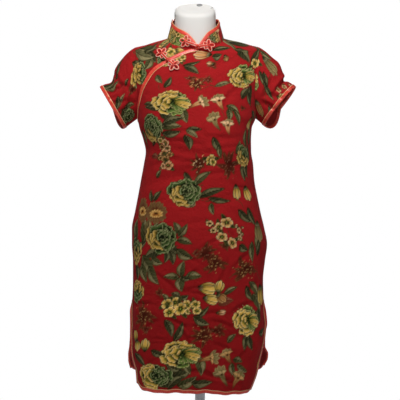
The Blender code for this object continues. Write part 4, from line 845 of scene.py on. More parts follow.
# Stalks from one place on the chart to another, and how far they bow.
STALKS = (
    (160, 90, 159, 84, 1), (166, 91, 165, 87, 0), (150, 110, 157, 108, 2), (184, 112, 181, 108, 1),
    (150, 145, 147, 158, 2), (163, 134, 158, 128, 1), (186, 137, 190, 131, 1), (196, 171, 190, 180, 2),
    (203, 185, 196, 189, -1), (209, 201, 196, 197, 1), (186, 110, 192, 108, 1), (213, 110, 208, 116, 1),
    (221, 110, 224, 118, 1), (224, 121, 231, 112, 1), (222, 158, 218, 153, 1), (231, 163, 241, 165, 2),
    (242, 166, 244, 177, 1), (172, 232, 167, 236, 0), (178, 246, 172, 246, 0), (236, 200, 244, 209, 2),
    (205, 222, 214, 234, 2), (228, 228, 236, 240, -2), (203, 293, 214, 294, 2), (225, 300, 214, 305, -1),
    (196, 304, 204, 316, 1), (186, 312, 197, 316, 1), (172, 334, 175, 342, 1), (160, 352, 166, 354, 1),
    (168, 366, 171, 377, 1), (193, 362, 201, 361, 1), (220, 366, 224, 372, 1), (229, 366, 231, 376, 1),
    (243, 333, 247, 338, 0), (236, 334, 232, 338, 0), (246, 88, 249, 95, 1), (250, 64, 246, 60, 0),
    (204, 89, 216, 86, 2), (210, 84, 222, 86, -2), (240, 263, 229, 278, 2), (255, 265, 262, 280, -2),
    (112, 88, 122, 84, 2), (124, 108, 116, 112, 1), (272, 72, 266, 78, 1), (266, 90, 262, 102, 2),
)


def wet(ink):
    """A hex ink as linear red, green and blue."""
    return np.array(linear(ink)[:3])


class Printed:
    """The ink on a piece's points. Distances are millimetres along and up the threads."""

    def __init__(self, cloth):
        flat = cloth.points.reshape(-1, 3)
        self.s, self.t = cloth.s.ravel() * 1000, cloth.t.ravel() * 1000
        far = EYE_AWAY / (EYE_AWAY + flat[:, 1])
        self.across = CHART_MIDDLE + flat[:, 0] * far / SQUARE
        self.down = CHART_MIDDLE - (flat[:, 2] - EYE_HEIGHT) * far / SQUARE
        self.away = cloth.normals.reshape(-1, 3)[:, 1]
        self.behind = self.away > 0.05
        self.ink = np.tile(wet(GROUND), (len(flat), 1))
        # Painted light: below the hips the inks are laid up to 1.4 times brighter, making up for the lamps'
        # light that falls off towards the hem.
        self.painted_light_low = 1 + 0.4 * smooth_step(self.down, 215, 330)[:, None]

    def near(self, s, t, reach):
        """Points within reach of a place, and their distances from it."""
        spot = np.nonzero((np.abs(self.s - s) < reach) & (np.abs(self.t - t) < reach))[0]
        return spot, self.s[spot] - s, self.t[spot] - t

    def from_base(self, s, t, turn, length, reach):
        """The same for a long motif, from its base, and its turn's cosine and sine."""
        spot, ds, dt = self.near(s, t, reach)
        cosine, sine = way_of(turn)
        return spot, ds + cosine * length / 2, dt + sine * length / 2, cosine, sine

    def lay(self, spot, cover, colour):
        # Each ink is brightened by the lower skirt's painted light before it is laid.
        self.ink[spot] += (colour * self.painted_light_low[spot] - self.ink[spot]) * np.clip(cover, 0, 1)[:, None]


def petal(
    cloth, spot, s, t, turn, length, width, inks, blunt=0.3, bend=0.0, streaks=0.0, line=OUTLINE,
    wave=0.0, shows=0.05,
):
    """One petal or leaf from its base at s, t = 0: an outline, then its body, deep at the base
    and pale at the rim. blunt and bend are its tip's and its curve's, streaks darken it, wave
    frills its tip, and shows is where the part seen begins."""
    outline, deep, body, rim = map(wet, inks)
    cosine, sine = way_of(turn)
    along = (s * cosine + t * sine) / length
    inner = np.clip(along, 0.002, 0.998)
    off = (-s * sine + t * cosine) / (width / 2) - bend * 4 * inner * (1 - inner)
    along = along * (1 + wave * np.cos(off * 5.2 + turn))
    inner = np.clip(along, 0.002, 0.998)
    fullest = 0.7 / (0.7 + blunt)
    half = (inner / fullest) ** 0.7 * ((1 - inner) / (1 - fullest)) ** blunt
    inside = np.minimum((half - np.abs(off)) * width / 2, np.minimum(along, 1 - along) * length)
    cloth.lay(spot, np.clip((inside + line) / SOFT + 0.5, 0, 1), outline)
    colour = deep + (body - deep) * smooth_step(along, shows, shows + 0.5 * (1.02 - shows))[:, None]
    edge = np.clip(1.3 - inside / 1.9, 0, 1) * smooth_step(along, 0.35, 0.75)
    colour = colour + (rim - colour) * edge[:, None]
    if streaks:
        vein = np.clip(np.sin(off * 8 + along * 2), 0, 1) * streaks * (1 - along * 0.5)
        colour = colour + (deep - colour) * np.clip(vein, 0, 1)[:, None]
    cloth.lay(spot, inside / SOFT + 0.5, colour)


def leaf(cloth, s, t, turn, length, width, inks):
    """A pointed leaf in two tones, with a dark midrib and faint veins."""
    reach, length = length * 0.8, length * 1.12
    spot, ds, dt, cosine, sine = cloth.from_base(s, t, turn, length, reach)
    bend = 0.4 if sin(s * 0.7 + t) > 0 else -0.4
    outline, deep, body, rim = inks
    petal(cloth, spot, ds, dt, turn, length, width * 1.06, (outline, deep, body, body), 1.05, bend, line=1.0)
    outline, deep, body, rim = map(wet, inks)
    along = (ds * cosine + dt * sine) / length
    off = -ds * sine + dt * cosine - bend * 2 * width * along * (1 - along)
    half = width / 2 * np.clip(np.sin(np.clip(along, 0, 1) ** 0.75 * pi), 0, 1)
    within = (along > 0.02) & (along < 0.97) & (np.abs(off) < half - 0.5)
    side = 1 if bend > 0 else -1
    cloth.lay(spot, smooth_step(-off * side, -0.8, 0.8) * within * 0.66, deep)
    veins = np.clip(np.sin((along * 5.0 - np.abs(off) / width * 2.4) * 2 * pi), 0, 1)
    cloth.lay(spot, np.where(within, veins * np.where(off * side > 0, 0.3, 0.12), 0), rim)
    shine = np.exp(-(((off * side - half * 0.55) / (width * 0.12)) ** 2)) * within
    cloth.lay(spot, shine * smooth_step(along, 0.2, 0.5) * 0.5, rim)
    cloth.lay(spot, np.clip(1.4 - np.abs(off) / VEIN_HALF, 0, 1) * (along > 0) * (along < 0.9), outline)
    tip = np.clip(1.2 - np.abs(off - side * 1.7) / VEIN_HALF, 0, 1) * within
    cloth.lay(spot, tip * 0.35, rim)


# Rings of petals from the outside in: how many, where they start, how long and wide they are
# as shares of the flower's radius, and how far the ring is turned.
DRAWN = {
    "full": ((7, 0.3, 0.7, 0.76, 8), (5, 0.1, 0.6, 0.72, 30), (3, 0, 0.38, 0.5, 5)),
    "swept": (
        (9, 0.36, 0.64, 0.62, 4), (7, 0.18, 0.6, 0.62, 24), (5, 0.04, 0.5, 0.56, 10),
        (3, 0, 0.3, 0.36, 50),
    ),
    "cupped": (
        (7, 0.24, 0.76, 0.84, 12), (5, 0.12, 0.68, 0.9, 42), (5, 0.04, 0.52, 0.68, 20),
        (3, 0, 0.36, 0.52, 60), (3, 0, 0.2, 0.26, 10),
    ),
}
# A swept flower's long petals to one side: turn, length and width.
SWEPT = (
    (-74, 0.8, 0.3), (38, 0.74, 0.3), (-52, 0.94, 0.32), (20, 0.86, 0.32), (-34, 1, 0.32), (2, 0.94, 0.32),
    (-16, 1.02, 0.32),
)


def flower(cloth, s, t, wide, tall, lit, bright, shade, drawn):
    """A many-petalled flower, its rings parted by dark gaps round an off-centre heart."""
    bright, shade = INKS[bright], INKS[shade]
    size = (wide + tall) / 4 * 0.93
    spot, ds, dt = cloth.near(s, t, max(wide, tall) * 0.62)
    ds, dt = ds * size / (wide * 0.465), dt * size / (tall * 0.465)
    dark = wet(shade[0])
    shift_s, shift_t = 0.12 * size, 0.06 * size
    rings = DRAWN[drawn]
    for number, (count, start, long, broad, offset) in enumerate(rings):
        share = number / (len(rings) - 1)
        within = rings[number + 1] if share < 1 else (0, 0, 0.1)
        shows = (sum(within[1:3]) * 0.98 - start) / long
        from_s, from_t = ds - shift_s * share, dt - shift_t * share
        if number:
            around = np.arctan2(from_t, from_s)
            reach = (start + long) * size * (1.05 + 0.07 * np.sin(around * (count + 1) + s))
            gap = smooth_step(reach - np.hypot(from_s, from_t), -0.8, 0.8)
            cloth.lay(spot, gap * 0.94, dark)
        for step in range(count):
            way = offset + step * 360 / count + 7 * sin(step * 2.3 + s)
            cosine, sine = way_of(way)
            stretch = 1 + 0.1 * sin(step * 3.7 + number * 1.9 + s * 0.1)
            faces = cos(radians(way - lit))
            if drawn == "cupped":
                golden = 0.0 if bright is INKS["gold"] else 0.45
                inks = bright if faces > golden and number < 3 else shade
            else:
                inks = bright if faces > -0.3 else shade
            petal(
                cloth, spot, from_s - cosine * start * size, from_t - sine * start * size, way,
                long * size * stretch, broad * size * stretch, inks, 0.22,
                0.2 * sin(step + number), 0.3, wave=0.05, shows=shows,
            )
    if drawn == "swept":
        for step, (way, long, broad) in enumerate(SWEPT):
            inks, long = bright if step in (3, 4, 6) else shade, long * size * 0.94
            from_s, from_t = ds - shift_s, dt - shift_t
            petal(cloth, spot, from_s, from_t, way, long, broad * size, inks, 0.45, 0.35, 0.7, 1.6)
    heart = np.hypot(ds - shift_s, dt - shift_t) / size
    uneven = 0.03 * np.sin(np.arctan2(dt, ds) * 5 + t)
    cloth.lay(spot, smooth_step(0.19 + uneven - heart, 0, 0.08), dark)
    for step in range(3):
        cosine, sine = way_of(step * 120 + 30)
        apart = np.hypot(ds - shift_s - cosine * 0.09 * size, dt - shift_t - sine * 0.09 * size)
        cloth.lay(spot, smooth_step(1.7 - apart, 0, 1.2) * 0.6, wet(shade[2]))


# The flames in a haloed flower's heart, from back to front: turn and length.
FLAMES = (
    (215, 0.5), (-35, 0.52), (188, 0.72), (-8, 0.76), (166, 0.8), (16, 0.78), (140, 0.64), (40, 0.66),
    (112, 0.54), (66, 0.56), (90, 0.42), (250, 0.36), (290, 0.34),
)


def haloed(cloth, s, t, wide, tall):
    """A flower of faint brown petals round a bright flame-shaped heart."""
    size = (wide + tall) / 4
    spot, ds, dt = cloth.near(s, t, max(wide, tall) * 0.64)
    ds, dt = ds * size / (wide / 2), dt * size / (tall / 2)
    faint = ("#571f12", "#5a3019", "#775632", "#92744a")
    for step in range(7):
        way = step * 360 / 7 + 12
        petal(cloth, spot, ds, dt, way, size * 1.12, size * 0.76, faint, 0.2, 0.1, 0.8, 1.0, 0.05, 0.3)
    low = dt + size * 0.2
    for way, long in FLAMES:
        petal(cloth, spot, ds, low, way, size * long, size * 0.24, INKS["flame"], 0.6, 0.1, 0.3, 0.9)
    stamen = ("#3a1c0c",) * 4
    for step in range(4):
        petal(cloth, spot, ds, low, 30 + step * 40, size * 0.26, size * 0.09, stamen, 0.4, line=0.2)


def bud(cloth, s, t, turn, length, width, inks):
    """A closed bud of three petals in a green calyx."""
    spot, ds, dt, *_ = cloth.from_base(s, t, turn, length, length * 0.8)
    for way, long, broad, *shape in (
        (10, 0.92, 0.66, 0.42, 0.2, 0.3), (-11, 0.9, 0.6, 0.42, -0.2, 0.3),
        (1, 1, 0.52, 0.45, 0.1, 0.2),
    ):
        petal(cloth, spot, ds, dt, turn + way, length * long, width * broad, inks, *shape)
    for way in (24, -27, 0):
        petal(cloth, spot, ds, dt, turn + way, length * 0.27, width * 0.3, INKS["dark"], 0.9, line=0.9)


def trumpet(cloth, s, t, turn, length, width, inks):
    """A long-throated flower seen from its side, its lips curled out to both sides."""
    spot, ds, dt, cosine, sine = cloth.from_base(s, t, turn, length, length * 0.85)
    mouth_s, mouth_t = ds - cosine * length * 0.58, dt - sine * length * 0.58
    lip, olive = length * 0.46, INKS["olive"]
    for way in (48, -46, 14, -12):
        petal(cloth, spot, mouth_s, mouth_t, turn + way, lip, width * 0.4, olive, 0.7, 0.2, 0.4, 0.7)
    petal(cloth, spot, ds, dt, turn, length * 0.74, width * 0.38, inks, 0.1, 0.3, 0.5, 0.9)
    pale = (inks[0], inks[2], inks[3], inks[3])
    for way, bend, long in ((66, -0.9, 0.66), (-78, 0.9, 0.54), (20, -0.5, 0.42)):
        lip = width * long
        petal(cloth, spot, mouth_s, mouth_t, turn + way, lip, width * 0.22, pale, 0.9, bend, 0.0, 0.7)
    hole = np.hypot(mouth_s - cosine * 1.2, mouth_t - sine * 1.2)
    cloth.lay(spot, smooth_step(width * 0.1 - hole, -0.6, 1.0), wet("#3d200f"))


def blossom(cloth, s, t, radius, inks):
    """A small tilted five-petalled blossom with a green eye, on a few dark leaflets."""
    spot, ds, dt = cloth.near(s, t, radius * 2.1)
    for step in range(2):
        way = step * 155 + 60 * sin(s + t)
        petal(cloth, spot, ds, dt, way, radius * 1.75, radius * 0.7, INKS["shadow"], 0.7, line=0.9)
    tilt = radians(90 * sin(s * 0.3 + t))
    squash = cos(tilt) * ds + sin(tilt) * dt
    ds, dt = ds + squash * 0.3 * cos(tilt), dt + squash * 0.3 * sin(tilt)
    for step in range(5):
        way = step * 72 + 18 + 25 * sin(s)
        petal(cloth, spot, ds, dt, way, radius * 1.12, radius * 0.92, inks, 0.3, line=1.5, shows=0.3)
    heart, around = np.hypot(ds, dt), np.arctan2(dt, ds)
    dark = smooth_step(radius * (0.4 + 0.12 * np.cos(around * 5 + s)) - heart, -0.6, 0.9)
    cloth.lay(spot, dark, wet("#162410"))
    cloth.lay(spot, smooth_step(radius * 0.14 - heart, -0.4, 0.6), wet("#8a9a3c"))


def berries(cloth, s, t, wide, tall, inks, strength, count):
    """A lacy head of tiny flowers: dark leaflets all round under a haze of pale specks."""
    inks = INKS[inks]
    size = (wide + tall) / 4
    spot, ds, dt = cloth.near(s, t, max(wide, tall) * 0.85)
    ds, dt = ds * size * 2 / wide, dt * size * 2 / tall
    for step in range(13):
        way = step * 83 + 16 * sin(step * 2.1 + s)
        length = size * (1.12 + 0.42 * sin(step * 1.7 + t))
        petal(cloth, spot, ds, dt, way, length, size * 0.36, INKS["lace"], 0.9, 0.5, 0.6, 0.5)
    for number in range(count):
        angle = number * 2.4 + 0.5 * sin(number * 1.9 + s)
        out = sqrt((number + 0.5) / count) * (0.8 if number % 4 else 1.3) * size
        apart = np.hypot(ds - cos(angle) * out, dt - sin(angle) * out)
        speck = 0.9 + 0.8 * sin(number * 1.7) ** 2
        colour = (inks[3], inks[0], inks[2], inks[0], inks[3])[number % 5]
        cloth.lay(spot, smooth_step(speck - apart, -0.5, 0.6) * strength, wet(colour))


def stalk(cloth, from_s, from_t, to_s, to_t, bow):
    length = hypot(to_s - from_s, to_t - from_t)
    spot, ds, dt = cloth.near((from_s + to_s) / 2, (from_t + to_t) / 2, length * 0.75 + 6)
    way_s, way_t = (to_s - from_s) / length, (to_t - from_t) / length
    along = (ds * way_s + dt * way_t) / length + 0.5
    off = np.abs(-ds * way_t + dt * way_s - bow * 4 * along * (1 - along))
    within = (along > 0) & (along < 1)
    cloth.lay(spot, np.clip(1.5 - off / VEIN_HALF, 0, 1) * within * 0.85, wet("#3c3a20"))


def print_all(lay_at):
    """Prints the whole chart in its inks' order. lay_at gives each motif its places."""

    def print_wide(draw, rows, reach=lambda wide, tall: wide):
        for x, y, wide, tall, *rest in rows:
            for cloth, s, t in lay_at(x, y, reach(wide, tall) / 2):
                draw(cloth, s, t, wide * SQUARE_MM, tall * SQUARE_MM, *rest)

    def print_long(draw, rows):
        for x, y, turn, length, width, inks in rows:
            for cloth, s, t in lay_at(x, y, length / 2):
                draw(cloth, s, t, turn, length * SQUARE_MM, width * SQUARE_MM, INKS[inks])

    print_wide(berries, BERRIES, max)
    for x, y, to_x, to_y, bow in STALKS:
        half_s, half_t = (to_x - x) * SQUARE_MM / 2, (y - to_y) * SQUARE_MM / 2
        for cloth, s, t in lay_at((x + to_x) / 2, (y + to_y) / 2, hypot(to_x - x, to_y - y) / 2):
            stalk(cloth, s - half_s, t - half_t, s + half_s, t + half_t, bow * SQUARE_MM)
    print_long(leaf, LEAVES)
    print_wide(haloed, HALOED)
    print_wide(flower, FLOWERS)
    print_long(trumpet, TRUMPETS)
    print_long(bud, BUDS)
    for x, y, radius, inks in BLOSSOMS:
        for cloth, s, t in lay_at(x, y, radius):
            blossom(cloth, s, t, radius * SQUARE_MM, INKS[inks])


def print_seen(*cloths):
    """Lays the chart on the front of the dress, each motif where it is seen."""

    def lay_at(x, y, reach):
        for cloth in cloths:
            apart = np.hypot(cloth.across - x, cloth.down - y) + np.where(cloth.behind, 1e3, 0)
            near = apart.argmin()
            if apart[near] < reach + 1:
                s = cloth.s[near] + (x - cloth.across[near]) * SQUARE_MM
                yield cloth, s, cloth.t[near] - (y - cloth.down[near]) * SQUARE_MM

    print_all(lay_at)


def print_unseen(cloth, over, up, low, high, left=-400, right=400, clear=-2):
    """Runs the chart's repeat over a part of a piece that faces away by more than clear."""

    def lay_at(x, y, reach):
        if not REPEAT_TOP <= y < REPEAT_TOP + REPEAT or not REPEAT_LEFT < x < REPEAT_RIGHT:
            return
        for turn in (-1, 0, 1, 2):
            for aside in (-1, 0, 1):
                s = (x - REPEAT_MIDDLE + aside * REPEAT_ASIDE) * SQUARE_MM * REPEAT_STRETCH + over
                t = EYE_HEIGHT * 1000 + (CHART_MIDDLE - y + turn * REPEAT) * SQUARE_MM + up
                middle = np.hypot(cloth.s - s, cloth.t - t).argmin()
                if low < t < high and left < s < right and cloth.away[middle] > clear:
                    yield cloth, s, t

    print_all(lay_at)


# Plain woven printed cotton: matt, with fine threads and the ink soaked in. The wrong side
# shows the print pale and flat. Threads are really 0.35 mm apart and drawn at 2.2 mm to show.
def cotton(name, right_side):
    made, tree, shader = finish(
        name, GROUND, Roughness=0.86, Specular_IOR_Level=0.05, Sheen_Weight=0.02, Sheen_Roughness=0.5
    )
    threads = add_node(tree, "ShaderNodeUVMap", uv_map="threads").outputs["UV"]
    # Slubs in the yarn, 3 mm long, and a slow fading over the width of a hand.
    grains, shades = [], []
    for scale, detail, rough, least, most in ((340, 2, 0.6, 0.9, 1.07), (7, 3, 0.5, 0.94, 1.05)):
        noise = {"Vector": threads, "Scale": scale, "Detail": detail, "Roughness": rough}
        grains.append(add_node(tree, "ShaderNodeTexNoise", noise).outputs["Fac"])
        span = {"Value": grains[-1], "From Min": 0.3, "From Max": 0.7, "To Min": least, "To Max": most}
        shades.append(add_node(tree, "ShaderNodeMapRange", span).outputs["Result"])
    both = add_node(tree, "ShaderNodeMath", {0: shades[0], 1: shades[1]}, operation="MULTIPLY")
    # The ink attribute holds the print, with the painted light that brightens the inks on the lower skirt.
    ink = add_node(tree, "ShaderNodeAttribute", attribute_name="ink")
    dyed = {0: ink.outputs["Color"], "Scale": both.outputs["Value"]}
    colour = add_node(tree, "ShaderNodeVectorMath", dyed, operation="SCALE").outputs["Vector"]
    if not right_side:
        faded = {"Fac": 0.35, "Color1": colour, "Color2": linear("#a8423f")}
        colour = add_node(tree, "ShaderNodeMixRGB", faded).outputs["Color"]
    tree.links.new(colour, shader.inputs["Base Color"])
    weave = {"Vector": threads, "Scale": 145, "Distortion": 0.6, "Detail": 1}
    warp, weft = (
        add_node(tree, "ShaderNodeTexWave", weave, bands_direction=way).outputs["Fac"] for way in "XY"
    )
    height = warp
    for other in (weft, grains[0]):
        height = add_node(tree, "ShaderNodeMath", {0: height, 1: other}, operation="ADD").outputs["Value"]
    # Washed and hung without ironing, so it is rumpled all over, 14 mm from one dip to the next.
    rumple = {"Vector": threads, "Scale": 70, "Detail": 2, "Distortion": 0.8}
    rumple = add_node(tree, "ShaderNodeTexNoise", rumple).outputs["Fac"]
    washed = add_node(tree, "ShaderNodeBump", {"Height": rumple, "Strength": 0.8, "Distance": 0.003})
    woven = {"Height": height, "Normal": washed.outputs["Normal"], "Strength": 0.16, "Distance": 0.0004}
    tree.links.new(add_node(tree, "ShaderNodeBump", woven).outputs["Normal"], shader.inputs["Normal"])
    return made


printed_cotton = cotton("printed_plain_weave_cotton", True)
wrong_side = cotton("printed_cotton_wrong_side", False)


def rim_faces(outer, inner, picks):
    """Faces that close one edge between the outer points and every third point's inner twin."""
    spans = zip(picks, picks[1:], inner, inner[1:])
    return [[*outer[first : last + 1], after, before] for first, last, before, after in spans]


def lay_map(mesh, name, places):
    mesh.uv_layers.new(name=name).data.foreach_set("uv", places.astype(np.float32).ravel())


def at_corners(mesh, places):
    """Each point's place, read at every corner of every face."""
    corners = np.zeros(len(mesh.loops), int)
    mesh.loops.foreach_get("vertex_index", corners)
    return places[corners]


def sew(name, cloth, ink, stands_for, every=3):
    """Makes a piece from its outer points, and its inner side and edges from every third."""
    rows, columns = cloth.points.shape[:2]
    up, over = sorted({*range(0, rows, every), rows - 1}), {*range(0, columns, every)}
    over = sorted(over if cloth.closed else over | {columns - 1})
    picked = np.ix_(up, over)
    inner = cloth.points[picked] - cloth.normals[picked] * CLOTH
    along = np.cross(cloth.points[1, 1] - cloth.points[1, 0], cloth.points[2, 0] - cloth.points[1, 0])
    flip = float(np.dot(along, cloth.normals[1, 0])) < 0
    outside = np.arange(rows * columns).reshape(rows, columns)
    inside = np.arange(len(up) * len(over)).reshape(len(up), len(over)) + rows * columns
    if cloth.closed:
        outside, inside = np.hstack([outside, outside[:, :1]]), np.hstack([inside, inside[:, :1]])
        over = [*over, columns]
    rims = [(outside[0], inside[0], over, 1), (outside[-1], inside[-1], over, -1)]
    if not cloth.closed:
        rims += [(outside[:, 0], inside[:, 0], up, -1), (outside[:, -1], inside[:, -1], up, 1)]
    turned_over = 1 if flip else -1
    edges = [face[:: way * turned_over] for *rim, way in rims for face in rim_faces(*rim)]
    sides = (outside, not flip, 0.004, 0.786), (inside, flip, 0.808, 0.996)
    faces, flat, coats = [], [], []
    for grid, forwards, left, right in sides:
        corners = [grid[:-1, :-1], grid[:-1, 1:], grid[1:, 1:], grid[1:, :-1]]
        i, j = np.meshgrid(*(np.arange(n - 1) for n in grid.shape), indexing="ij")
        u = np.stack([j, j + 1, j + 1, j], -1) / (grid.shape[1] - 1) * (right - left) + left
        v = np.stack([i, i, i + 1, i + 1], -1) / (grid.shape[0] - 1) * 0.992 + 0.004
        way = 1 if forwards else -1
        faces += np.stack(corners, -1).reshape(-1, 4)[:, ::way].tolist()
        flat.append(np.stack([u, v], -1).reshape(-1, 4, 2)[:, ::way].reshape(-1, 2))
        coats += [len(flat) - 1] * ((grid.shape[0] - 1) * (grid.shape[1] - 1))
    corners = np.concatenate([np.arange(len(face)) / len(face) for face in edges])
    number = np.concatenate([np.full(len(face), k / len(edges)) for k, face in enumerate(edges)])
    flat.append(np.column_stack([0.791 + corners * 0.012, number]))
    mesh = mesh_of(name, np.concatenate([cloth.points.reshape(-1, 3), inner.reshape(-1, 3)]), faces + edges)
    colours = np.concatenate([ink, ink.reshape(rows, columns, 3)[picked].reshape(-1, 3)])
    stored = mesh.attributes.new("ink", "FLOAT_COLOR", "POINT")
    stored.data.foreach_set("color", np.column_stack([colours, np.ones(len(colours))]).ravel())
    threads = np.stack([cloth.s, cloth.t], -1)
    threads = np.concatenate([threads.reshape(-1, 2), threads[picked].reshape(-1, 2)])
    lay_map(mesh, "threads", at_corners(mesh, threads))
    lay_map(mesh, "OFBake", np.concatenate(flat))
    made = add_piece(name, mesh, [printed_cotton, wrong_side], stands_for)
    mesh.polygons.foreach_set("material_index", coats + [0] * len(edges))
    return made


front_print = Printed(front_cloth)
back_print = Printed(back_cloth)

# ------------------------------------------------------------------ the underlap
# The small upper front on the wearer's right, of the same cotton. It is set into the neck,
# shoulder and armhole, and its inner edge goes on under the lapel that buttons over it.
UNDERLAP_COLUMNS = 84
UNDERLAP_SINK, UNDERLAP_RAMP = 0.0034, 0.014
UNDERLAP_STRIP = 6

lapel_row = front_first + LAPEL_LEAVES
left = side_edge(front, False)[LAPEL_LEAVES:]
plan = rows_between(front, left, lapel_edge, UNDERLAP_COLUMNS)
points, normals = front.folded(plan[..., 0], plan[..., 1])
underlap_neck = points[-1]
apart = norm(points - points[:, -1:], axis=-1)
sink = UNDERLAP_SINK * (1 - smooth_step(apart, 0, UNDERLAP_RAMP))
strip = slice(1, 1 + UNDERLAP_STRIP)
points = np.hstack([points, front_cloth.points[lapel_row:, strip]])
normals = np.hstack([normals, front_cloth.normals[lapel_row:, strip]])
sink = np.hstack([sink, np.full((len(points), UNDERLAP_STRIP), UNDERLAP_SINK)])
both = np.hstack([plan, front_plan[lapel_row:, strip]])
across, height = both[..., 0], both[..., 1]
points = points - normals * sink[..., None]
underlap_cloth = Cloth(points, normals, across_lengths(front, across, height), height)
underlap_print = Printed(underlap_cloth)

# ------------------------------------------------------------------ the sleeves
# Short set-in sleeves of the same cotton, each one piece joined under the arm. The cuffs stand
# off the form with nothing in them, so the cloth breaks into a few sharp creases above them.
Sleeve = namedtuple("Sleeve", "side top_x top_z bottom_x bottom_z depth turn sag swell trough")
SLEEVES = {
    "sleeve_right": Sleeve(-1, -0.26, 1.244, -0.1975, 1.1365, 0.084, 0.002, 0.008, 0.001, 0.012),
    "sleeve_left": Sleeve(1, 0.249, 1.244, 0.1675, 1.143, 0.086, 0.012, 0.018, 0.005, 0.007),
}
SLEEVE_ROWS = 76
SWELL_AT, TROUGH_AT, FOLD_SHARE, FOLD_OUT, FOLD_UP = 0.45, 0.74, 0.12, 0.6, 0.8
# Which way the cloth leaves the armhole, and how far it keeps to that on its way to the cuff.
LEAVES_OUT, LEAVES_FORWARD, LEAVES_DOWN, LEAVES_LIFT = 0.82, 0.4, 0.5, 0.06
KEEPS_AT_ARM, KEEPS_AT_CUFF, CUFF_OPENS = 0.33, 0.3, 0.25
TURNED_IN, TUCKED_UNDER = 0.0012, 0.0045  # the seam allowance inside the armhole
CREASE_FROM, CREASE_TO, CREASE_LEAST = 0.15, 0.08, 0.25
THREADS_UP = 1.2  # where the sleeves come on the print's repeat, in metres up
SLEEVE_CREASES = {
    "sleeve_right": records(Crease, (
        (-215, 1230, 33, 24, 6, 5, 2), (-212, 1256, -64, 26, 5.5, 3.2, 2),
        (-200, 1203, 10, 28, 5.5, 2.9, -2), (-180, 1190, 38, 28, 6, 3.7, 3),
        (-188, 1236, -34, 26, 6, 2.4, 3), (-174, 1208, 64, 30, 6.5, 2.2, 3),
        (-230, 1208, 24, 20, 5, 2.7, 1),
    )),
    "sleeve_left": records(Crease, (
        (213, 1256, 50, 26, 5.5, 7, -2), (205, 1234, 34, 22, 5.5, 4.1, 2), (196, 1212, -14, 30, 6, 4.3, 3),
        (180, 1186, -34, 28, 6.5, 5.7, 3), (174, 1234, 66, 30, 7, 3.5, 2), (224, 1230, -56, 22, 5.5, 3, 2),
    )),
}


def armhole_ring(right):
    """Points round an armhole, from the underarm up the front and down the back."""
    points = []
    for panel, order in ((front, range(ARMHOLE_STEPS + 1)), (back, range(ARMHOLE_STEPS - 1, 0, -1))):
        edge = np.array([side_edge(panel, right)[step] for step in order])
        points.append(panel.folded(edge[:, 0], edge[:, 1])[0])
    return np.concatenate(points)


sleeve_cloths, sleeve_prints = {}, {}
for name, sleeve in SLEEVES.items():
    ring = armhole_ring(sleeve.side > 0)
    turn = np.arange(2 * ARMHOLE_STEPS) * pi / ARMHOLE_STEPS - pi / 2
    top_end = np.array([sleeve.top_x, 0, sleeve.top_z])
    bottom_end = np.array([sleeve.bottom_x, 0, sleeve.bottom_z])
    spine = top_end - bottom_end
    out = unit(np.array([sleeve.side * spine[2], 0, -sleeve.side * spine[0]]))
    cuff = (
        (top_end + bottom_end) / 2
        + np.outer(np.sin(turn), spine / 2)
        - np.outer(np.cos(turn), [0, sleeve.depth / 2, 0])
        - np.outer(np.cos(turn), out * sleeve.turn / 2)
        + np.outer(np.clip(np.sin(2 * turn), 0, 1) * (np.sin(turn) < 0), out * sleeve.sag)
    )
    reach = norm(cuff - ring, axis=1)[:, None]
    sideways = sleeve.side * np.full(len(turn), LEAVES_OUT)
    upwards = -LEAVES_DOWN + LEAVES_LIFT * np.sin(turn)
    away = np.stack([sideways, -LEAVES_FORWARD * np.cos(turn), upwards], -1)
    near_arm = ring + unit(away) * reach * KEEPS_AT_ARM
    near_cuff = cuff - unit(out + CUFF_OPENS * unit(cuff - ring)) * reach * KEEPS_AT_CUFF
    rows = []
    for t in np.linspace(0, 1, SLEEVE_ROWS):
        row = ring * (1 - t) ** 3 + near_arm * 3 * t * (1 - t) ** 2
        row = row + near_cuff * 3 * t * t * (1 - t) + cuff * t**3
        stand = sleeve.swell * exp(-(((t - SWELL_AT) / FOLD_SHARE) ** 2))
        stand -= sleeve.trough * exp(-(((t - TROUGH_AT) / FOLD_SHARE) ** 2))
        on_top = np.clip(np.sin(turn), 0, 1) ** 2
        rows.append(row + np.outer(on_top * stand, [sleeve.side * FOLD_OUT, 0, FOLD_UP]))
    inwards = unit(rows[0].mean(axis=0) - rows[0]) * TURNED_IN
    inwards -= np.array([sleeve.side * TUCKED_UNDER, 0, 0])
    grid = np.array([rows[0] + inwards, *rows])
    normals = facing(grid_normals(grid, closed=True), grid - grid.mean(axis=(0, 1)))
    # Threads: round the arm and along it, turned so that up on the cloth is up as it is seen.
    along = np.array([lengths_along(grid[:, column]) for column in range(grid.shape[1])]).T
    girth = lengths_along(np.concatenate([grid[SLEEVE_ROWS // 2], grid[SLEEVE_ROWS // 2][:1]]))[:-1]
    around = np.tile(girth - girth[ARMHOLE_STEPS // 2], (len(grid), 1))
    lean = atan2(-spine[0], spine[2])
    s = sleeve.side * along * cos(lean) - around * sin(lean)
    t = around * cos(lean) + sleeve.side * along * sin(lean)
    share = np.linspace(0, 1, len(grid))[:, None]
    shown = np.clip(share / CREASE_FROM, 0, 1) * np.clip((1 - share) / CREASE_TO, CREASE_LEAST, 1)
    sleeve_cloths[name] = Cloth(grid, normals, s, t + THREADS_UP, SLEEVE_CREASES[name], shown, closed=True)
    sleeve_prints[name] = Printed(sleeve_cloths[name])

# ------------------------------------------------------------------ the collar
# A stiffened stand collar of the same cotton, sewn to the neck edge. Its two ends slope away
# from the centre front in a deep V and are hooked together at the bottom.
CollarPoint = namedtuple("CollarPoint", "along height")
COLLAR = records(CollarPoint, ((0, 5), (9, 16.5), (19, 28.5), (31, 37.5), (55, 43), (100, 47), (260, 48)))
COLLAR_LEAN_SIDE, COLLAR_LEAN_FRONT, COLLAR_OPENING = 0.013, 0.008, 0.003
COLLAR_ROWS, COLLAR_COLUMNS = 26, 220

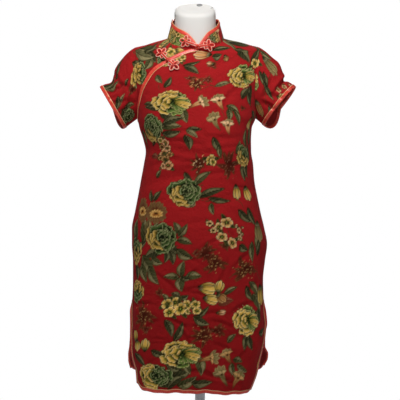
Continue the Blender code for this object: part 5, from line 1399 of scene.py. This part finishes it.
base = np.concatenate([underlap_neck[::-1], back_cloth.points[-1, 1:-1], front_cloth.points[-1, ::-1]])
length = lengths_along(base)
even = np.linspace(0, length[-1], COLLAR_COLUMNS)
base = np.stack([np.interp(even, length, base[:, k]) for k in range(3)], -1)
along = np.minimum(even, even[-1] - even)
base[0, 0] -= COLLAR_OPENING / 2
base[-1, 0] += COLLAR_OPENING / 2
column = [[getattr(point, name) for point in COLLAR] for name in CollarPoint._fields]
tall = smooth_through(*column, along)
middle = np.array([(TORSO[-1].left + TORSO[-1].right) / 2, 0.0])
radial = unit(base[:, :2] - middle)
lean = COLLAR_LEAN_SIDE * radial[:, 0] ** 2 + COLLAR_LEAN_FRONT * radial[:, 1] ** 2
rise = np.column_stack([-radial * (lean / COLLAR[-1].height)[:, None], np.ones(len(base))])
points = np.array([base + rise * (tall * share)[:, None] for share in np.linspace(0, 1, COLLAR_ROWS)])
normals = facing(grid_normals(points), points - np.array([*middle, NECK_SEAM]))
over = np.where(even < even[-1] / 2, -even, even[-1] - even)
collar_cloth = Cloth(points, normals, np.tile(over, (COLLAR_ROWS, 1)), points[..., 2])
collar_print = Printed(collar_cloth)

# The print runs over all the pieces of the front, and the repeat covers what faces away.
print_unseen(back_print, over=0, up=-546, low=480, high=1420, left=-260, right=260)
for cloth in sleeve_prints.values():
    behind_t = cloth.t[cloth.behind]
    print_unseen(cloth, over=40, up=120, low=behind_t.min(), high=behind_t.max(), clear=0.45)
print_unseen(collar_print, over=0, up=170, low=1350, high=1440, left=-150, right=150)
print_seen(front_print, underlap_print, collar_print, *sleeve_prints.values())

front_piece = sew("front_panel", front_cloth, front_print.ink, ["front"])
back_piece = sew("back_panel", back_cloth, back_print.ink, ["back"])
underlap_piece = sew("underlap_panel", underlap_cloth, underlap_print.ink, ["underlap"])
collar_piece = sew("stand_collar", collar_cloth, collar_print.ink, ["collar"])
sleeve_pieces = {
    name: sew(f"{name}_cloth", cloth, sleeve_prints[name].ink, [name])
    for name, cloth in sleeve_cloths.items()
}

# ------------------------------------------------------------------ the bindings
# Bias strips of coral satin folded over every raw edge, 8 mm wide on both sides, with a thin
# pale gold cord laid in along the seam that holds them.
BINDING_WIDTH, LAPEL_WIDTH = 0.008, 0.0095
CORD_RADIUS = 0.0007
# The strip's section in millimetres: distance in from the edge, and height off the cloth.
WRAPPED = (
    (8, 0.25), (7.7, 0.95), (6.4, 1.25), (4, 1.35), (1.8, 1.25), (0.2, 0.8), (-0.8, 0.1),
    (-0.9, -0.8), (-0.4, -1.8), (1.2, -2.5), (4, -2.6), (7, -2.4), (8, -1.6),
)
# Where the strip lies flat along the armhole seam, its turned part goes no lower than this.
TURNED_PART, FLAT_FOOT = 7, (0.2, 0.25)
LAPEL_SET_IN = 0.06  # how far in from the seam the flat part lies, as a share of its width


def inside_of(line, distance):
    """The point a distance in along each line of points that starts at an edge."""
    length = lengths_along(line)
    return np.array([np.interp(distance, length, line[:, k]) for k in range(3)])


def square_in(cloth, edge, stands, distance):
    """The point on the cloth a distance in from each edge point, square to the edge."""
    tangents = unit(np.gradient(edge, axis=0))
    flat = cloth.points.reshape(-1, 3)
    inner = []
    for point, tangent, stand in zip(edge, tangents, stands):
        way = unit(np.cross(stand, tangent))
        near = np.nonzero(norm(flat - point, axis=1) < distance * 1.8)[0]
        if np.dot(flat[near].mean(axis=0) - point, way) < 0:
            way = -way
        aim = point + way * distance
        close = near[np.argsort(norm(flat[near] - aim, axis=1))[:4]]
        inner.append(aim - stand * np.dot(aim - flat[close].mean(axis=0), stand))
    return np.array(inner)


def strip_mesh(name, edge, inner, normals, closed=False, flat=None):
    """A strip swept along an edge. inner holds the point a full width in from each one, and
    flat is true where the strip isn't folded over."""
    section = np.tile(np.array(WRAPPED), (len(edge), 1, 1))
    if flat is not None:
        section[flat, -TURNED_PART:] = FLAT_FOOT
    share, stand = section[..., 0] / WRAPPED[0][0], section[..., 1] / 1000
    points = edge[:, None] + (inner - edge)[:, None] * share[..., None]
    grid = (points + normals[:, None] * stand[..., None]).transpose(1, 0, 2)
    mesh = mesh_of(name, grid.reshape(-1, 3), grid_faces(grid.shape[0], grid.shape[1], closed))
    places = np.stack(np.broadcast_arrays(lengths_along(edge)[None, :], share.T * BINDING_WIDTH), -1)
    lay_map(mesh, "threads", at_corners(mesh, places.reshape(-1, 2)))
    return mesh


def cord_mesh(name, path, radius, sides=7, closed=False):
    """A round cord along a line of points, turned as little as it can be on the way."""
    path = np.asarray(path, float)
    if closed:
        tangents = unit(np.roll(path, -1, axis=0) - np.roll(path, 1, axis=0))
    else:
        tangents = unit(np.gradient(path, axis=0))
    across = unit(np.cross(tangents[0], [0.31, 0.52, 0.79]))
    turn = np.arange(sides) * 2 * pi / sides
    rows = []
    for point, tangent in zip(path, tangents):
        across = unit(across - tangent * np.dot(across, tangent))
        beside = np.cross(tangent, across)
        rows.append(point + radius * (np.outer(np.cos(turn), across) + np.outer(np.sin(turn), beside)))
    if closed:
        rows.append(rows[0])
    grid = np.array(rows)
    faces = [*grid_faces(len(rows), sides, closed=True)]
    if not closed:
        faces.append(range(sides - 1, -1, -1))
        faces.append(range(len(rows) * sides - sides, len(rows) * sides))
    return mesh_of(name, grid.reshape(-1, 3), faces)


# Satin: long floats of filament yarn give a soft shine along the strip, and ripples 3 mm apart
# where the bias cloth is eased round curves. Gold cord: twisted viscose with a metallic glint,
# its strands 1.4 mm apart.
satin, tree, shader = finish(
    "coral_bias_satin", "#d6372b", Roughness=0.27, Anisotropic=0.5, Specular_IOR_Level=0.38,
    Sheen_Weight=0.03,
)
threads = add_node(tree, "ShaderNodeUVMap", uv_map="threads").outputs["UV"]
eased = add_node(tree, "ShaderNodeMapping", {"Vector": threads, "Scale": (330, 60, 1)})
# Painted sheen: the satin's colour runs from deep coral in the ripples' hollows to pale pink on their
# crests, set by the same noise that raises them.
ripple_and_painted_sheen = mottle(
    tree, shader, "#cd2f22", "#f65e4c", Vector=eased.outputs["Vector"], Scale=1, Detail=2,
    Distortion=0.6,
)
pulled = {"Height": ripple_and_painted_sheen, "Strength": 0.35, "Distance": 0.0008}
tree.links.new(add_node(tree, "ShaderNodeBump", pulled).outputs["Normal"], shader.inputs["Normal"])

gold_cord, tree, shader = finish("twisted_gold_piping", "#e9b985", Roughness=0.45, Specular_IOR_Level=0.6)
place = add_node(tree, "ShaderNodeTexCoord").outputs["Object"]
mottle(tree, shader, "#d9934f", "#f6d9a4", Vector=place, Scale=700, Detail=1)


def hem_path(cloth, slit_row):
    """The free edge of a skirt: down one slit, along the hem and up the other slit."""
    points, normals = cloth.points, cloth.normals
    last = points.shape[1] - 1
    corners = {}
    for column, way in ((0, 1), (last, -1)):
        inwards = points[:, ::way]
        at = np.searchsorted(lengths_along(inwards[0]), BINDING_WIDTH)
        up = np.searchsorted(lengths_along(inwards[:, at]), BINDING_WIDTH)
        corners[column] = inwards[up, at]
    places = [(row, 0) for row in range(slit_row, 0, -1)]
    places += [(0, column) for column in range(last + 1)]
    places += [(row, last) for row in range(1, slit_row + 1)]
    inner = []
    for row, column in places:
        near = [end for end in corners if norm(points[row, column] - points[0, end]) < BINDING_WIDTH]
        line = points[:, column] if row == 0 else points[row, :: 1 if column == 0 else -1]
        inner.append(corners[near[0]] if near else inside_of(line, BINDING_WIDTH))
    edge, stands = (np.array([grid[place] for place in places]) for grid in (points, normals))
    return edge, np.array(inner), stands


def bind(name, edge, inner, stands, node, closed=False, flat=None, cord_at=8.1, cord_up=0.75):
    """Adds a strip and the cord beside it, cord_at in from the edge and cord_up off the cloth."""
    mesh = strip_mesh(name, edge, inner, stands, closed, flat)
    strip = add_piece(name, mesh, [satin], [node])
    path = edge + (inner - edge) * (cord_at / WRAPPED[0][0]) + stands * cord_up / 1000
    keep = np.concatenate([[True], norm(np.diff(path, axis=0), axis=1) > 0.0004])
    mesh = cord_mesh(f"{name}_cord", path[keep], CORD_RADIUS, closed=closed)
    return [strip, add_piece(f"{name}_cord", mesh, [gold_cord])]


front_trim = bind("front_hem_binding", *hem_path(front_cloth, front_slit - 1), "binding_front_hem")
back_trim = bind("back_hem_binding", *hem_path(back_cloth, back_slit - 1), "binding_back_hem")
rows = slice(front_first, None)
edge, stands = front_cloth.points[rows, 0], front_cloth.normals[rows, 1]
inner = square_in(front_cloth, edge, stands, LAPEL_WIDTH)
flat = np.arange(len(edge)) < LAPEL_LEAVES
edge = np.where(flat[:, None], edge + (inner - edge) * LAPEL_SET_IN, edge)
front_trim += bind("lapel_binding", edge, inner, stands, "binding_lapel", flat=flat)
edge, stands = collar_cloth.points[-1], collar_cloth.normals[-1]
inner = square_in(collar_cloth, edge, stands, BINDING_WIDTH)
collar_trim = bind("collar_binding", edge, inner, stands, "binding_collar", cord_at=-0.7)
sleeve_trim = {}
for name, cloth in sleeve_cloths.items():
    columns = cloth.points.transpose(1, 0, 2)[:, ::-1]
    inner = np.array([inside_of(column, BINDING_WIDTH) for column in columns])
    node = name.replace("sleeve", "binding_cuff")
    trim = f"{name}_cuff_binding"
    sleeve_trim[name] = bind(trim, cloth.points[-1], inner, cloth.normals[-1], node, closed=True)

# ------------------------------------------------------------------ the frogs
# Two pairs of flower fastenings, knotted by hand from coral satin cord edged with fine cream cord, whose
# pale colour also paints the highlight along the satin loops. A ball button on one half goes through a loop
# on the other. Each half is sewn down.
Frog = namedtuple("Frog", "end x z stem_x stem_z bend lift end_lift")
FROGS = {
    "frog_collar_button": Frog("ball", -0.0345, 1.352, -0.0058, 1.3352, 0.06, 0.005, 0.012),
    "frog_collar_loop": Frog("loop", 0.0165, 1.3405, -0.0058, 1.3352, 0.075, 0.012, 0.0068),
    "frog_chest_button": Frog("ball", -0.0965, 1.3225, -0.081, 1.3035, 0.11, 0.0034, 0.0082),
    "frog_chest_loop": Frog("loop", -0.067, 1.2914, -0.081, 1.3035, 0.13, 0.0044, 0.0044),
}
FROG_PETALS, FROG_RADIUS, FROG_WAIST = 5, 0.014, 0.0036
FROG_CORD, EDGE_CORD = 0.0014, 0.0007
FROG_BEAD, BALL_RADIUS, LOOP_RADIUS = 0.002592, 0.00289, 0.0052
STEM_APART, STEM_EDGE_APART, EDGE_OUT = 0.0011, 0.0028, 0.0018

# Cream cotton cord, dull and faintly twisted, its strands 1.25 mm apart. Its pale colour also stands for the
# highlight along the satin loops: a painted highlight.
cream_cord_and_painted_highlight, tree, shader = finish("cream_edging_and_painted_highlight", "#f0cdb4", Roughness=0.5)
place = add_node(tree, "ShaderNodeTexCoord").outputs["Object"]
mottle(tree, shader, "#e2a88c", "#fbe3cd", Vector=place, Scale=800, Detail=1)


def wound_ball(centre, out, radius, turns=5):
    """A cord wound round and round into a small ball."""
    side = unit(np.cross(out, [0.2, 0.1, 0.97]))
    up = np.cross(out, side)
    share = np.linspace(0.04, 0.96, turns * 14)
    polar, spin = share * pi, share * turns * 2 * pi
    return centre + radius * (
        np.outer(np.cos(polar), out)
        + np.outer(np.sin(polar) * np.cos(spin), side)
        + np.outer(np.sin(polar) * np.sin(spin), up)
    )


def join(name, meshes):
    """One mesh from several."""
    shape = bmesh.new()
    for mesh in meshes:
        shape.from_mesh(mesh)
    made = bpy.data.meshes.new(name)
    shape.to_mesh(made)
    shape.free()
    return made


for name, frog in FROGS.items():
    across, height = map(np.array, front.find(frog.x, frog.z))
    point, normal = front.plain(across, height), front.normal(across, height)
    apart = np.hypot(collar_cloth.points[..., 0] - frog.x, collar_cloth.points[..., 2] - frog.z)
    apart = apart + np.where(collar_cloth.points[..., 1] > 0, 1.0, 0.0)
    place = np.unravel_index(apart.argmin(), apart.shape)
    if frog.z > collar_cloth.points[0, place[1], 2]:
        point, normal = collar_cloth.points[place], collar_cloth.normals[place]
    across, height = map(np.array, front.find(frog.stem_x, frog.stem_z))
    end = front.plain(across, height) + front.normal(across, height) * frog.end_lift
    out = unit(normal)
    towards = end - point
    down = unit(towards - out * np.dot(towards, out))
    beside = np.cross(out, down)
    middle = point + out * frog.lift

    def lay_cord(along, aside, lift=0.0):
        bend = (along**2 + aside**2) / (2 * frog.bend)
        return middle + down * along + beside * aside + out * (lift - bend)

    def petals(grown, lift):
        """The looped outline, moved out or in by grown."""
        turn = np.arange(FROG_PETALS * 18) * 2 * pi / (FROG_PETALS * 18)
        reach = ((1 - np.cos(FROG_PETALS * turn)) / 2) ** 0.7
        radius = FROG_WAIST + (FROG_RADIUS - FROG_WAIST) * reach * (1 - 0.22 * np.cos(turn))
        outline = np.stack([radius * np.cos(turn), radius * np.sin(turn)], -1)
        side = unit(np.roll(outline, -1, axis=0) - np.roll(outline, 1, axis=0))
        outline = outline + np.stack([side[:, 1], -side[:, 0]], -1) * grown
        return np.array([lay_cord(a, b, lift) for a, b in outline])

    start = lay_cord(0.001, 0, 0.0006)
    stop = end - unit(end - start) * (LOOP_RADIUS if frog.end == "loop" else 0)
    share = np.linspace(0, 1, 13)[:, None]
    stem = start + (stop - start) * share + out * FROG_CORD * 1.4 * np.sin(pi * share)
    satin_parts = [
        cord_mesh("petals", petals(0, 0), FROG_CORD, 9, closed=True),
        cord_mesh("bead", wound_ball(middle + out * 0.0006, out, FROG_BEAD), FROG_CORD * 0.8),
        *(cord_mesh("stem", stem + beside * way * STEM_APART, FROG_CORD, 9) for way in (1, -1)),
    ]
    # The cream edging round the petals and stems is cord and also a painted highlight of the satin.
    cream_and_highlight_parts = [
        cord_mesh("outer_edge", petals(EDGE_OUT, 0.0004), EDGE_CORD, closed=True),
        *(cord_mesh("stem_edge", stem + beside * way * STEM_EDGE_APART, EDGE_CORD) for way in (1, -1)),
    ]
    if frog.end == "ball":
        satin_parts.append(cord_mesh("ball", wound_ball(end, out, BALL_RADIUS), FROG_CORD * 1.1, 9))
    else:
        turn = np.arange(40) * 2 * pi / 40
        ring = end + LOOP_RADIUS * (np.outer(np.cos(turn), down) + np.outer(np.sin(turn), beside))
        satin_parts.append(cord_mesh("loop", ring, FROG_CORD * 0.9, 9, closed=True))
    add_piece(f"{name}_satin", join(f"{name}_satin", satin_parts), [satin], [name])
    add_piece(f"{name}_edging", join(f"{name}_edging", cream_and_highlight_parts), [cream_cord_and_painted_highlight])

# ------------------------------------------------------------------ what was cut
# Each printed piece is a single layer of cotton, cut flat and then shaped by its seams. The loop below only
# turns each sleeve's cuff trim into a list and keeps nothing.
for name, piece in sleeve_pieces.items():
    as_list(sleeve_trim[name])

# ------------------------------------------------------------------ floor, light and camera
# A pale matt floor under a white studio sky. A big soft lamp above the chest and a weaker one
# beside it light the shoulders and let the hem fall into shade, and one behind rims them.
# Three more light the floor alone.
floor_mesh = turned("studio_floor", ((0, -0.0004), (3.9, -0.0004), (4, -0.004), (4, -0.02)))
floor = set_out("studio_floor", floor_mesh)
floor.location.y = -1.6
paper, tree, shader = finish("matt_white_studio_floor", "#e9e9e9", Roughness=0.9)
floor_mesh.materials.append(paper)
floor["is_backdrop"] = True

world = bpy.data.worlds.new("white_studio")
bpy.context.scene.world = world
world.use_nodes = True
tree = world.node_tree
tree.nodes.clear()
soft_sky, seen_sky = (
    add_node(tree, "ShaderNodeBackground", {"Color": linear("#ffffff"), "Strength": strength}).outputs[0]
    for strength in (0.036, 1.0)
)
path = add_node(tree, "ShaderNodeLightPath")
sky = add_node(tree, "ShaderNodeMixShader", {0: path.outputs["Is Camera Ray"], 1: soft_sky, 2: seen_sky})
add_node(tree, "ShaderNodeOutputWorld", {"Surface": sky.outputs["Shader"]})

# Name, where it hangs, what it is aimed at, its width, its watts and its spread in degrees.
LAMPS = (
    ("key_lamp", (-0.1, -1.00, 2.45), (0, 0, 1.29), 0.9, 4.45, 70),
    ("side_lamp", (0.9, -1.1, 1.95), (0, 0, 1.35), 0.8, 2.1, 180),
    ("floor_lamp", (0, -4.4, 3.2), (0, -4.4, 0), 2.4, 75, 100),
    ("floor_lamp_left", (3.6, -0.4, 3), (3.6, -0.4, 0), 2.8, 46, 90),
    ("floor_lamp_right", (-3.6, -0.4, 3), (-3.6, -0.4, 0), 2.8, 46, 90),
    ("rear_lamp", (0.1, 2.1, 2.2), (0, 0, 1.00), 1, 34, 180),
)
for name, place, aim, size, power, spread in LAMPS:
    light = bpy.data.lights.new(name, "AREA")
    light.shape, light.size, light.energy = "DISK", size, power
    light.spread = radians(spread)
    holder = set_out(name, light)
    holder.location = place
    holder.rotation_euler = (Vector(aim) - Vector(place)).to_track_quat("-Z", "Y").to_euler()

camera = bpy.data.cameras.new("camera")
camera.lens, camera.sensor_width = 103.8, 36
holder = set_out("camera", camera)
holder.location = (0, -EYE_AWAY, EYE_HEIGHT)
holder.rotation_euler = (pi / 2, 0, 0)
bpy.context.scene.camera = holder
bpy.context.scene.view_settings.view_transform = "Standard"

low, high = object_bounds()
boxes = {"cad": [list(cad_low), list(cad_high)], "visual": [list(low), list(high)]}
